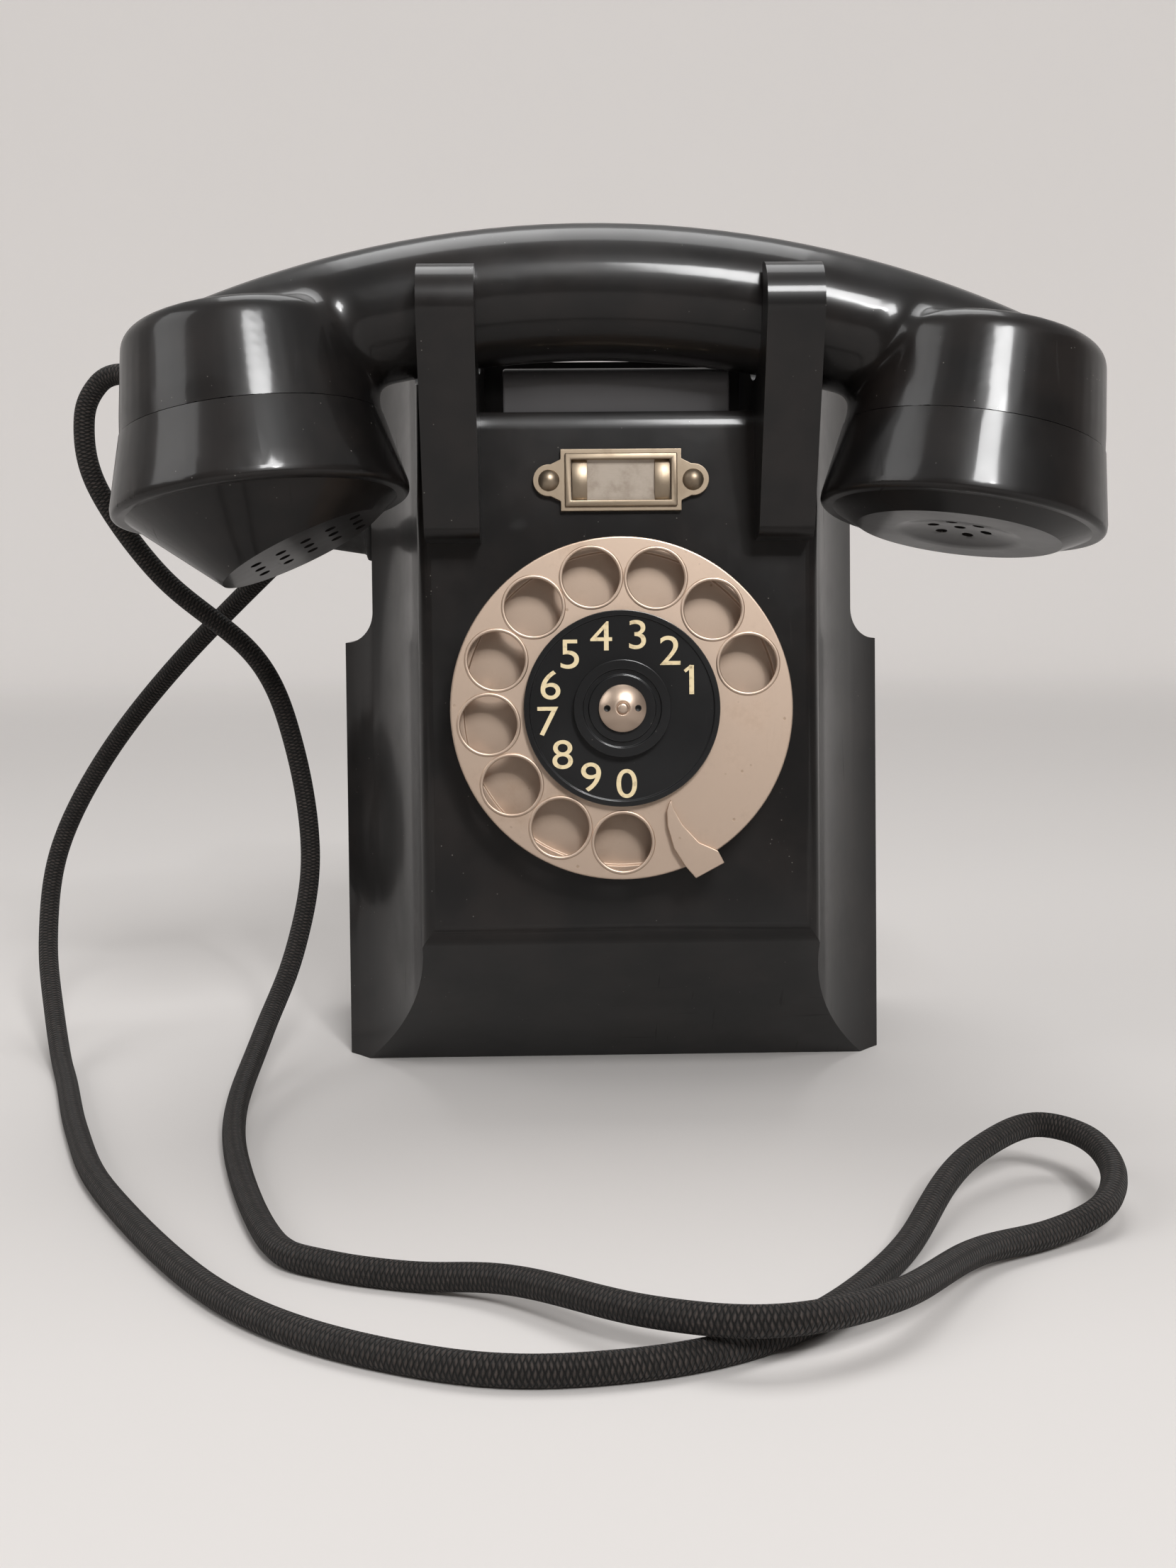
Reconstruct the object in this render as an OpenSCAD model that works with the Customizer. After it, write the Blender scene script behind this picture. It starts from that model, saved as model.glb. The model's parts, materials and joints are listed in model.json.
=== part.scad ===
// Wall telephone with rotary dial, horns for the handset and a braided handset cord

/* [Case] */
// width of the case over its lower part
case_w = 137; // [130:1:150]
// height where the shoulders begin
shoulder_z = 106; // [98:1:112]
// radius of the hollow shoulders, where the case steps in
shoulder_r = 8; // [5:1:10]
// height of the case
case_h = 174; // [170:1:185]
// depth of the straight box at the back, which is also the standing face
base_d = 66; // [62:1:75]
// distance from the origin to the front edge of the standing face
base_front = 31; // [28:1:36]
// wall thickness of the moulding
wall = 3; // [2.5:0.5:4]
// lean of the front face
lean = 4; // [2:0.5:6]
// drop from the middle of the dial to the bend in the front
bend_drop = 52; // [48:1:58]
// reach of the bend in front of the straight box
bend_q = 48.3; // [44:0.1:56]
// width of the front face
face_w = 91.4; // [88:0.2:96]
// radius of the hollow flanks, which flare out to the back
flank_r = 83; // [76:1:92]

/* [Horns and cradle] */
// clear width between the horns
horn_gap = 62; // [60:1:66]
// width of one horn
horn_w = 12.3; // [10:0.1:14]
// rise of the horns above the case
horn_rise = 14.6; // [10:0.1:18]
// reach of the horns in front of the face
horn_reach = 28; // [26:0.5:32]
// width of the cradle bar
bar_w = 52; // [40:1:56]
// drop of the cradle bar below the top of the case, with the handset resting on it
bar_drop = 4.4; // [3:0.1:6]

/* [Handset] */
// radius of the round handle
grip_r = 15; // [13:0.5:16]
// radius of the arch of the handle
arch_r = 218; // [200:1:240]
// distance of each cup from the middle
cup_x = 80.6; // [78:0.1:86]
// drop from the handle to the seam of the caps
seam_drop = 32.5; // [30:0.5:35]
// radius of the cups at the seam
cup_r = 29.3; // [28:0.1:30.5]
// inward lean of the cups
cup_lean = 8; // [6:0.1:11]
// radius of the rim of the mouth cap
mouth_r = 33; // [31.5:0.1:35]
// radius of the rim of the ear cap
ear_r = 31.8; // [31:0.1:35]
// forward roll of the handset on the cradle
roll = 8; // [4:0.5:10]
// sideways tilt of the handset on the cradle
tilt = 1.5; // [0:0.1:2.4]

/* [Dial] */
// drop from the top of the case to the middle of the dial
dial_drop = 82; // [79:0.5:86]
// radius of the finger wheel
wheel_r = 38; // [36:0.5:40]
// radius of a finger hole
hole_r = 6.35; // [5.5:0.05:6.6]
// metal outside the finger holes
hole_rim = 1.95; // [1.5:0.05:3]
// angle of the first finger hole
first_hole = 19; // [12:1:26]
// angle between finger holes
hole_pitch = 27.9; // [27:0.1:29]
// height of the top of the wheel above the face
wheel_top = 11; // [10:0.5:13]
// radius of the number disc
disc_r = 21.7; // [19:0.1:21.7]

/* [Cord] */
// diameter of the braided cord
cord_d = 5; // [4.5:0.1:5.5]

/* [Hidden] */
$fn = 64;
// Shared fits
fit = 0.05;
seat_gap = 0.3;
rest_gap = 0.6;
back_y = base_d - base_front;
upper_w = case_w - 2 * shoulder_r;
// Front face
dial_z = case_h - dial_drop;
bend_z = dial_z - bend_drop;
flange_y = -base_front;
face_round = 4;
bend_round = 6.2;
top_round = 3;
round_steps = 8;
flank_far = face_w / 2 + flank_r;
face_mid = flank_far - sqrt(flank_r * flank_r + 2 * flank_r * face_round);
function face_q(z) = bend_q - (z - bend_z) * tan(lean);
function at_q(q) = flange_y - q;
// Back plate and the things bolted to it
plate_t = 1.5;
plate_back = back_y - 2;
plate_y = plate_back - plate_t;
plate_q = back_y - plate_y;
plate_gap = 2;
screw_r = 1.8;
screw_l = 11;
boss_w = 12;
boss_l = 18;
boss_in = 14;
boss_bite = 0.5;
function boss_x(w) = w / 2 - wall - boss_w / 2 + boss_bite;
bosses = [for (s = [-1, 1]) each [[s * boss_x(case_w), boss_in], [s * boss_x(upper_w), case_h - boss_in]]];
hole_x = 30;
hole_z = 86;
wall_holes = [[-hole_x, hole_z], [hole_x, hole_z], [0, case_h - 10]];
wall_hole_r = 2.75;
grommet_at = [0, 12];
grommet_r = 5;
grommet_lip = 2;
line_bore_r = 3;
// Cradle well
well_wall = 3;
well_floor = case_h - 30.5;
well_back = 8;
panel_top = case_h - 14.8;
panel_in = face_q(panel_top) - 4;
panel_bevel_z = case_h - 19;
channel = 1.2;
// Horns
horn_low = case_h - 43.5;
horn_foot = 9;
horn_root = face_q(case_h) - wall - 2;
horn_h = case_h + horn_rise;
horn_q = face_q(horn_low) + horn_reach;
horn_round = 9;
// Hook switch
pin_r = 2;
pin_l = 26;
cheek_half = 6;
pivot_q = 30;
pivot_z = case_h - 24;
hub_r = 5;
cheek_x = 9.5;
cheek_t = 2;
arm_w = 6;
arm_gap = 1.5;
arm_h = 6;
pile = [10, 9, 12];
pile_x = cheek_x + cheek_t + 4.5;
blade_l = 40;
blade_t = 0.5;
blade_pitch = 4;
bar_z = case_h - bar_drop;
bar_front = panel_in - 0.7;
bar_back = bar_front - 9.3;
bar_low = well_floor + 3.5;
// Handset place and its helper turns
handset_z = bar_z + rest_gap + grip_r;
handset_q = face_q(panel_top);
hs_y = at_q(handset_q);
function turn_x(p, a) = [p[0], p[1] * cos(a) - p[2] * sin(a), p[1] * sin(a) + p[2] * cos(a)];
function turn_y(p, a) = [p[0] * cos(a) + p[2] * sin(a), p[1], p[2] * cos(a) - p[0] * sin(a)];
function turn_z(p, a) = [p[0] * cos(a) - p[1] * sin(a), p[0] * sin(a) + p[1] * cos(a), p[2]];
function from_handset(p) = [0, hs_y, handset_z] + turn_y(turn_x(p, -roll), tilt);
function from_mouth(p) = from_handset([-cup_x, 0, -seam_drop] + turn_y(p, -cup_lean));
arch_end = cup_x + 11;
cup_h = 23.5;
cup_top_r = cup_r - 3.1;
cup_bore = cup_r - 2.4;
cup_deep = 17;
spigot_h = 6;
spigot_t = 2.2;
cap_h = 18;
cap_t = 3;
capsule_r = cup_bore - 2.9;
capsule_h = 11;
beak_r = mouth_r - 3;
beak_slope = 1.2;
beak_h = 18.5;
beak_cut = 19;
sound_r = 1.3;
sound_pitch = 6;
// Cord ends
gland_l = 10;
gland_r = 3.8;
hs_gland_turn = 135;
hs_gland_rise = 32;
hs_gland_in = 6;
hs_gland_z = spigot_h + gland_r + 2.8;
hs_gland_out = cup_r - 1.9;
gland_y = flange_y + 16;
gland_z = case_h - 40;
gland_plug_r = 5;
boot_l = 10;
flange_t = 2;
// Dial layers above and below the face
wheel_t = 1.5;
hole_ring = wheel_r - hole_rim - hole_r;
dish_r = wheel_r - 1.5;
dish_in = wheel_r - 2.8;
dish_floor = 3;
dish_t = 1.2;
dish_h = 7;
shaft_r = 3;
frame_z = -12;
frame_t = 1.5;
case_hole_r = dish_in - 2.2;
frame_r = case_hole_r - 1.5;
post_ring = frame_r - 3.5;
post_r = 2.5;
gear_r = 14;
gear_t = 1.6;
gear_z = frame_z + 4;
gov_r = 7;
gov_pin = 1.5;
gov_ring = gear_r + gov_r + 0.8;
gov_turn = 270;
disc_t = 1.4;
cap_r = 10.75;
hub_cap_t = 2.1;
nut_r = 5.2;
stop_z = wheel_top + 0.8;
stop_gap = 0.8;
stop_t = 1.2;
stop_turn = -62;
// Card holder
card_x = 0.7;
card_z = case_h - 30.5;
card_w = 27.3;
card_h = 13.9;
card_t = 1.4;
paper_t = 0.5;
paper_in = 1.5;
rivet_x = 16.3;
rivet_r = 1.1;
// Bells
gong_x = 31;
gong_z = 36;
gong_r = 26;
gong_t = 1.2;
gong_rim = 8;
gong_q = 6;
gong_screw = 2;
gong_screw_l = 11;
ring_q = 16;
ring_z = 62.7;
ring_pin = 1.2;
yoke_back = 2;
yoke_w = 44;
yoke_t = 3;
yoke_low = ring_z - 6.7;
yoke_z = ring_z + 25.3;
yoke_reach = 22;
magnet = [48, 14, 8];
winding_r = 8;
winding_l = 20;
winding_x = 11;
core_r = 2.5;
core_l = 2.4;
// Circuit pieces
can = [38, 23, 36];
can_x = 8.5 - upper_w / 2;
can_z = shoulder_z - 6;
coil_cheek = [2, 26, 18];
coil_l = 38;
coil_r = 8.5;
coil_x = upper_w / 2 - 6.5 - coil_l - 2 * coil_cheek[0];
coil_z = shoulder_z + 3;
term = [40, 12, 12];
term_pitch = 10;
term_x = coil_x + 2;
term_z = shoulder_z + 19;
term_r = 1.5;
term_row = [for (i = [0 : 3]) term_x + term_pitch * (i + 0.5)];

// Rounded polygon with a true arc at each corner
function unit(v) = v / norm(v);
function bend_half(p, a, b) = acos(unit(a - p) * unit(b - p)) / 2;
function leg(p, a, r, h) = p + unit(a - p) * (r / tan(h));
function arc_mid(p, a, b, r, h) = p + unit(unit(a - p) + unit(b - p)) * (r / sin(h));
function cross2(u, v) = u[0] * v[1] - u[1] * v[0];
function cut_corner(p, a, b, r) = r > 0
    ? [leg(p, a, r, bend_half(p, a, b)), leg(p, b, r, bend_half(p, a, b))] : [p];
module corner_arc(p, a, b, r) {
    h = bend_half(p, a, b);
    intersection() {
        translate(arc_mid(p, a, b, r, h)) circle(r);
        polygon([leg(p, a, r, h), p, leg(p, b, r, h)]);
    }
}
module rounded(p, r) {
    n = len(p);
    difference() {
        union() {
            polygon([for (i = [0 : n - 1]) each cut_corner(p[i], p[(i + n - 1) % n], p[(i + 1) % n], r[i])]);
            for (i = [0 : n - 1])
                if (r[i] > 0 && cross2(p[i] - p[(i + n - 1) % n], p[(i + 1) % n] - p[i]) > 0)
                    corner_arc(p[i], p[(i + n - 1) % n], p[(i + 1) % n], r[i]);
        }
        for (i = [0 : n - 1])
            if (r[i] > 0 && cross2(p[i] - p[(i + n - 1) % n], p[(i + 1) % n] - p[i]) < 0)
                corner_arc(p[i], p[(i + n - 1) % n], p[(i + 1) % n], r[i]);
    }
}

// Inset of a convex outline
function meet(p, u, q, v) = p + u * (cross2(q - p, v) / cross2(u, v));
function left_of(u) = [-u[1], u[0]];
function inset(p, d) = [for (i = [0 : len(p) - 1])
    let (a = p[(i + len(p) - 1) % len(p)], b = p[i], c = p[(i + 1) % len(p)])
    let (u = unit(b - a), v = unit(c - b))
    meet(b + left_of(u) * d, u, b + left_of(v) * d, v)];

// Extrusion across the width, from a profile drawn as [y, z]
module across(w) {
    translate([-w / 2, 0, 0]) rotate([90, 0, 90]) linear_extrude(w) children();
}
// Local frame on the front face, z pointing out of it
module on_face(z) {
    translate([0, at_q(face_q(z)), z]) rotate([90 - lean, 0, 0]) children();
}
// Cylinder that points to the front from the back plane
module forward(x, q, z, r, l) {
    translate([x, back_y - q, z]) rotate([90, 0, 0]) cylinder(r = r, h = l);
}
module block(x, q, z, size) {
    translate([x, back_y - q - size[1], z]) cube(size);
}

// Tube swept along a row of points
function row_dir(p, i) = i == 0 ? unit(p[1] - p[0])
    : i == len(p) - 1 ? unit(p[i] - p[i - 1]) : unit(unit(p[i + 1] - p[i]) + unit(p[i] - p[i - 1]));
function flat_to(v, t) = unit(v - t * (v * t));
function row_sides(p, v0) = [for (i = 0, v = flat_to(v0, row_dir(p, 0)); i < len(p);
    i = i + 1, v = i < len(p) ? flat_to(v, row_dir(p, i)) : v) v];
function tube_ring(c, t, v, r, n) = [for (k = [0 : n - 1])
    c + v * (r * cos(360 * k / n)) + cross(t, v) * (r * sin(360 * k / n))];
module tube(p, r, n, v0) {
    s = row_sides(p, v0);
    m = len(p);
    rings = [for (i = [0 : m - 1]) each tube_ring(p[i], row_dir(p, i), s[i], r, n)];
    skin = [for (i = [0 : m - 2], k = [0 : n - 1])
        [i * n + k, (i + 1) * n + k, (i + 1) * n + (k + 1) % n, i * n + (k + 1) % n]];
    near = [for (k = [0 : n - 1]) k];
    far = [for (k = [0 : n - 1]) (m - 1) * n + n - 1 - k];
    polyhedron(points = rings, faces = concat([near, far], skin), convexity = 10);
}
function spline(a, b, c, d, t) = 0.5 * (2 * b + (c - a) * t
    + (2 * a - 5 * b + 4 * c - d) * t * t + (3 * b - a - 3 * c + d) * t * t * t);
function smooth_row(p, n) = [for (i = [0 : len(p) - 2], k = [0 : n - 1])
    spline(p[max(i - 1, 0)], p[i], p[i + 1], p[min(i + 2, len(p) - 1)], k / n), p[len(p) - 1]];

// Route of the cord from the handset over the table to the case
cord_lead = 6;
cord_low = cord_d / 2 + 0.1;
function hs_gland_at(l) = from_mouth(turn_z([hs_gland_out + l * cos(hs_gland_rise), 0,
    hs_gland_z + l * sin(hs_gland_rise)], hs_gland_turn));
cord_from = hs_gland_at(gland_l);
cord_out = hs_gland_at(gland_l + cord_lead);
cord_to = [-upper_w / 2 - flange_t - boot_l, gland_y, gland_z];
cord_route = concat([cord_out], [
    [-117.5, -42.2, 171.5], [-123.5, -41, 169.5], [-127.5, -40.8, 161], [-125.5, -39, 145],
    [-112, -31.5, 123], [-90.5, -23, 102.5], [-82, -19, 79], [-78.5, -20, 50.5],
    [-81.5, -33, 28], [-86.5, -57, 12], [-85.5, -103, 3.2], [-68.5, -166, 0],
    [-54.5, -182, 0], [-26, -193.5, 4.5], [-2, -216, 7.5], [18, -223, 8.5],
    [38, -211.5, 7.5], [56.5, -184.5, 4], [73, -173, 3], [85, -165, 5],
    [91, -151.5, 7.5], [89.5, -138.5, 10], [80.5, -133, 11], [69, -141, 9.5],
    [58, -154.5, 6.5], [40, -188.5, 0], [21, -212.5, 0], [-4.5, -224.5, 0],
    [-33.5, -223, 0], [-69, -198.5, 0], [-103, -142.5, 0], [-120, -100, 0],
    [-134, -56, 0], [-144.5, -26, 10.5], [-151.5, -4.5, 27], [-150.5, 6.5, 50],
    [-137, 7.5, 75.5], [-113.5, 0.5, 102.5]], [cord_to - [cord_lead, 0, 0]]);
cord_row = [for (p = smooth_row(cord_route, 2)) [p[0], p[1], max(p[2], cord_low)]];

// Case: a side outline and a front outline crossed, with hollow flanks, open at the back
function arc_row(p, a, b, r, n) = let (h = bend_half(p, a, b), m = arc_mid(p, a, b, r, h))
    let (u = unit(leg(p, a, r, h) - m), v = unit(leg(p, b, r, h) - m), w = acos(u * v))
    [for (i = [0 : n]) m + (u * sin(w * (1 - i / n)) + v * sin(w * i / n)) * (r / sin(w))];
module side_outline(d) {
    p = [[back_y, 0], [back_y, case_h], [at_q(face_q(case_h)), case_h], [at_q(bend_q), bend_z],
        [flange_y, 0]];
    q = d > 0 ? inset(p, d) : p;
    polygon(concat([q[0], q[1]], arc_row(q[2], q[1], q[3], top_round, round_steps),
        arc_row(q[3], q[2], q[4], bend_round - d, round_steps), [q[4]]));
}
module front_outline(d) {
    translate([d - case_w / 2, d - 1]) square([case_w - 2 * d, shoulder_z + 1 - 2 * d]);
    translate([d - upper_w / 2, d - 1]) square([upper_w - 2 * d, case_h + 1 - d]);
    if (d == 0)
        for (s = [-1, 1])
            difference() {
                translate([s > 0 ? upper_w / 2 - 1 : -case_w / 2, shoulder_z - 1])
                    square([shoulder_r + 1, shoulder_r + 1]);
                translate([s * case_w / 2, shoulder_z + shoulder_r]) circle(shoulder_r);
            }
}
module flank_corner(s) {
    m = [face_mid, -face_round];
    turn = atan2(face_round, flank_far - face_mid);
    reach = 3 * face_round;
    arc = [for (i = [0 : round_steps]) let (t = 90 - (90 - turn) * i / round_steps)
        m + (face_round + fit) * [cos(t), sin(t)]];
    row = concat(arc, [m + reach * [cos(turn), sin(turn)], m + [reach, reach], m + [0, reach]]);
    polygon([for (p = row) [s * p[0], p[1]]]);
}
module case_form(d, back) {
    far = 2 * case_h;
    difference() {
        intersection() {
            across(1.5 * case_w) side_outline(d);
            translate([0, back, 0]) rotate([90, 0, 0]) linear_extrude(far) front_outline(d);
        }
        for (s = [-1, 1]) on_face(bend_z) translate([0, far, 0]) rotate([90, 0, 0]) {
            translate([s * flank_far, 0, 0]) rotate([0, 0, 90])
                cylinder(r = flank_r + d, h = 2 * far, $fn = 128);
            if (d == 0) linear_extrude(2 * far) flank_corner(s);
        }
    }
}
module case_hollow() {
    case_form(wall, back_y);
    intersection() {
        translate([0, back_y + 1, 0]) rotate([90, 0, 0]) linear_extrude(wall + 3) front_outline(wall);
        translate([-case_w, -case_w, wall]) cube([2 * case_w, 2 * case_w, case_h - 2 * wall]);
    }
}
module arch(r) {
    a = 2 * asin(arch_end / arch_r);
    translate([0, 0, -arch_r]) rotate([90, 0, 0]) rotate([0, 0, 90 - a / 2])
        rotate_extrude(angle = a, $fn = 96) translate([arch_r, 0]) circle(r);
}
module in_handset() {
    translate([0, hs_y, handset_z]) rotate([-roll, tilt, 0]) children();
}
module handle_space() {
    in_handset() arch(grip_r + channel);
}
module horn(s) {
    p = [[at_q(horn_root), horn_low - 1.5], [at_q(horn_root), case_h - 2], [at_q(handset_q + 6), horn_h],
        [at_q(horn_q), horn_h], [at_q(face_q(horn_low) + horn_foot), horn_low]];
    difference() {
        translate([s * (horn_gap + horn_w) / 2, 0, 0]) across(horn_w) rounded(p, [0, 0, 0, horn_round, 4]);
        handle_space();
        translate([-case_w, at_q(handset_q + grip_r + channel), handset_z])
            cube([2 * case_w, 4 * grip_r, case_h]);
    }
}
module well_outline() {
    open_z = case_h + 30;
    open_q = bend_q + 40;
    polygon([[at_q(well_back), well_floor], [at_q(well_back), open_z], [at_q(open_q), open_z],
        [at_q(open_q), panel_bevel_z], [at_q(face_q(panel_bevel_z)), panel_bevel_z],
        [at_q(panel_in + 1.8), panel_top], [at_q(panel_in), panel_top], [at_q(panel_in), well_floor]]);
}
module well_walls() {
    intersection() {
        case_form(0, back_y);
        translate([-horn_gap / 2 - well_wall, at_q(bend_q), well_floor - well_wall])
            cube([horn_gap + 2 * well_wall, bend_q - well_back + well_wall, case_h]);
    }
}
module case_bosses() {
    for (b = bosses)
        block(b[0] - boss_w / 2, plate_q, b[1] - boss_w / 2, [boss_w, boss_l, boss_w]);
}
module case_shell() {
    color([0.09, 0.08, 0.08]) {
        difference() {
            union() {
                difference() {
                    case_form(0, back_y);
                    case_hollow();
                }
                well_walls();
                case_bosses();
            }
            across(horn_gap) well_outline();
            handle_space();
            translate([-arm_gap, at_q(well_back + 1), pivot_z - arm_h / 2 - 2])
                cube([arm_w + 2 * arm_gap, 2 + well_wall, arm_h + 12]);
            on_face(dial_z) translate([0, 0, -20]) cylinder(r = case_hole_r, h = 30);
            on_face(card_z) for (s = [-1, 1])
                translate([card_x + s * rivet_x, 0, -12]) cylinder(r = rivet_r, h = 20);
            for (b = bosses) forward(b[0], plate_q, b[1], screw_r, screw_l + 1);
            translate([-upper_w / 2 - 2, gland_y, gland_z]) rotate([0, 90, 0])
                cylinder(r = gland_plug_r, h = 10);
        }
        for (s = [-1, 1]) horn(s);
    }
}

// Steel back plate with its wall holes
module plate_part(w, top) {
    edge = wall + plate_gap;
    translate([edge - w / 2, edge]) square([w - 2 * edge, top - 2 * edge]);
}
module base_plate() {
    color([0.55, 0.56, 0.57])
        difference() {
            translate([0, plate_back, 0]) rotate([90, 0, 0]) linear_extrude(plate_t) union() {
                plate_part(case_w, shoulder_z + 1);
                plate_part(upper_w, case_h);
            }
            for (b = bosses) forward(b[0], 0, b[1], screw_r + seat_gap, 10);
            for (h = wall_holes) forward(h[0], 0, h[1], wall_hole_r, 10);
            forward(grommet_at[0], 0, grommet_at[1], grommet_r, 10);
        }
}
module case_screws() {
    head = 1.8;
    color([0.62, 0.6, 0.55])
        for (b = bosses) {
            forward(b[0], back_y - plate_back - head, b[1], 4, head);
            forward(b[0], back_y - plate_back, b[1], screw_r, screw_l);
        }
}

// Card holder on the panel
module card_frame() {
    lip = 2.4;
    ear_r = 3.6;
    ear_in = card_w / 2 - 1;
    color([0.72, 0.66, 0.56])
        on_face(card_z) translate([card_x, 0, 0]) difference() {
            linear_extrude(card_t) union() {
                square([card_w, card_h], center = true);
                for (s = [0, 1]) mirror([s, 0]) {
                    translate([rivet_x, 0]) circle(ear_r);
                    polygon([[ear_in, -5.2], [rivet_x, -3.4], [rivet_x, 3.4], [ear_in, 5.2]]);
                }
            }
            translate([0, 0, 0.4]) linear_extrude(card_t)
                square([card_w - 2 * lip, card_h - 2 * lip], center = true);
            translate([0, 0, -1]) linear_extrude(1 + paper_t) card_area();
            for (s = [-1, 1]) translate([s * rivet_x, 0, -1]) cylinder(r = rivet_r, h = 4);
        }
}
module card_area() {
    square([card_w - 2 * paper_in, card_h - 2 * paper_in], center = true);
}
module card_paper() {
    color([0.87, 0.81, 0.68]) on_face(card_z) translate([card_x, 0, 0]) linear_extrude(paper_t) card_area();
}
module card_rivets() {
    head_r = 2.9;
    color([0.78, 0.72, 0.6])
        on_face(card_z) for (s = [-1, 1]) translate([card_x + s * rivet_x, 0, 0]) {
            translate([0, 0, -wall - 1]) cylinder(r = rivet_r, h = wall + 1 + card_t);
            intersection() {
                translate([0, 0, card_t - head_r / 2]) sphere(r = head_r);
                translate([0, 0, card_t]) cylinder(r = 4, h = 4);
            }
        }
}

// Dial: fixed pieces
module dial_dish() {
    color([0.7, 0.63, 0.54])
        on_face(dial_z) rotate_extrude() union() {
            translate([shaft_r + fit, dish_floor]) square([dish_r - shaft_r - fit, dish_t]);
            translate([dish_in, 0]) square([dish_r - dish_in, dish_h]);
        }
}
module finger_stop() {
    leg_w = 7.2;
    color([0.78, 0.69, 0.6])
        on_face(dial_z) rotate([0, 0, stop_turn]) translate([wheel_r + stop_gap, 0, 0]) {
            translate([0, 0, stop_z]) linear_extrude(stop_t)
                polygon([[-16, -0.2], [-14.3, -2.1], [-11.2, -3.6], [-6.2, -4.7], [-1.5, -4.4], [2, -3.6],
                    [2, 3.6], [-1, 3.6], [-4.6, 0.8], [-9.9, -0.6], [-14.2, -0.6]]);
            translate([0, -leg_w / 2, 0]) cube([2, leg_w, stop_z + stop_t]);
        }
}
module dial_frame() {
    color([0.6, 0.56, 0.46])
        on_face(dial_z) difference() {
            union() {
                translate([0, 0, frame_z]) cylinder(r = frame_r, h = frame_t);
                for (a = [90, 210, 330])
                    rotate([0, 0, a]) translate([post_ring, 0, frame_z])
                        cylinder(r = post_r, h = dish_floor - frame_z);
                rotate([0, 0, gov_turn]) translate([gov_ring, 0, frame_z]) cylinder(r = gov_pin, h = 11);
            }
            translate([0, 0, frame_z - 1]) cylinder(r = shaft_r + fit, h = 4);
        }
}
function spiral_row(r0, r1, turns, n, z) = [for (i = [0 : turns * n])
    let (r = r0 + (r1 - r0) * i / (turns * n), a = 360 * i / n) [r * cos(a), r * sin(a), z]];
module dial_spring() {
    wire = 0.5;
    color([0.35, 0.36, 0.4])
        on_face(dial_z) tube(spiral_row(4, 11, 4, 16, frame_z - wire - 0.2), wire, 8, [0, 0, 1]);
}
module pulse_contacts() {
    color([0.75, 0.68, 0.45])
        on_face(dial_z) rotate([0, 0, 30]) translate([16, 0, frame_z + frame_t]) {
            translate([0, -4, 0]) cube([6, 8, 5]);
            for (z = [1, 3]) translate([2, 4, z]) cube([3, 10, 0.4]);
        }
}

// Dial: turning pieces
module dial_shaft() {
    color([0.66, 0.64, 0.6])
        on_face(dial_z) translate([0, 0, frame_z - 4])
            cylinder(r = shaft_r, h = wheel_top + disc_t + hub_cap_t - frame_z + 4);
}
module main_gear() {
    teeth = 48;
    tooth = 1.2;
    color([0.72, 0.6, 0.33])
        on_face(dial_z) translate([0, 0, gear_z]) difference() {
            linear_extrude(gear_t) polygon([for (i = [0 : teeth - 1], k = [0 : 3])
                let (a = 360 * (i + k / 4) / teeth, r = k == 1 || k == 2 ? gear_r : gear_r - tooth)
                [r * cos(a), r * sin(a)]]);
            translate([0, 0, -1]) cylinder(r = shaft_r, h = 4);
        }
}
module finger_wheel() {
    color([0.8, 0.71, 0.62])
        on_face(dial_z) difference() {
            union() {
                translate([0, 0, wheel_top - wheel_t]) cylinder(r = wheel_r, h = wheel_t);
                translate([0, 0, dish_floor + dish_t + seat_gap])
                    cylinder(r = 9, h = wheel_top - wheel_t - dish_floor - dish_t - seat_gap);
            }
            translate([0, 0, -1]) cylinder(r = shaft_r, h = 30);
            for (i = [0 : 9]) rotate([0, 0, first_hole + i * hole_pitch])
                translate([hole_ring, 0, 0]) cylinder(r = hole_r, h = 30);
        }
}
module number_disc() {
    color([0.06, 0.06, 0.06])
        on_face(dial_z) difference() {
            translate([0, 0, wheel_top]) cylinder(r = disc_r, h = disc_t + 0.6);
            translate([0, 0, wheel_top + disc_t]) cylinder(r = disc_r - 1.3, h = 4);
            translate([0, 0, -1]) cylinder(r = shaft_r, h = 30);
        }
}
module dial_cap() {
    color([0.07, 0.07, 0.07])
        on_face(dial_z) difference() {
            translate([0, 0, wheel_top + disc_t]) cylinder(r = cap_r, h = hub_cap_t);
            translate([0, 0, wheel_top + disc_t + hub_cap_t - 0.7]) difference() {
                cylinder(r = 8.6, h = 2);
                cylinder(r = 7.4, h = 2);
            }
            translate([0, 0, -1]) cylinder(r = shaft_r, h = 30);
        }
}
module dial_nut() {
    low = wheel_top + disc_t + hub_cap_t;
    dome = 8;
    color([0.82, 0.76, 0.68])
        on_face(dial_z) difference() {
            intersection() {
                translate([0, 0, low]) cylinder(r = nut_r, h = 4);
                translate([0, 0, low + 2.8 - dome]) sphere(r = dome);
            }
            for (s = [-1, 1]) translate([s * 3.4, 0, low + 1]) cylinder(r = 0.6, h = 4);
        }
}
module governor() {
    color([0.7, 0.58, 0.34])
        on_face(dial_z) rotate([0, 0, gov_turn]) translate([gov_ring, 0, gear_z]) difference() {
            union() {
                cylinder(r = gov_r, h = gear_t);
                translate([0, 0, gear_t]) cylinder(r = 4, h = 5);
            }
            translate([0, 0, -1]) cylinder(r = gov_pin + fit, h = 12);
        }
}

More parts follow.
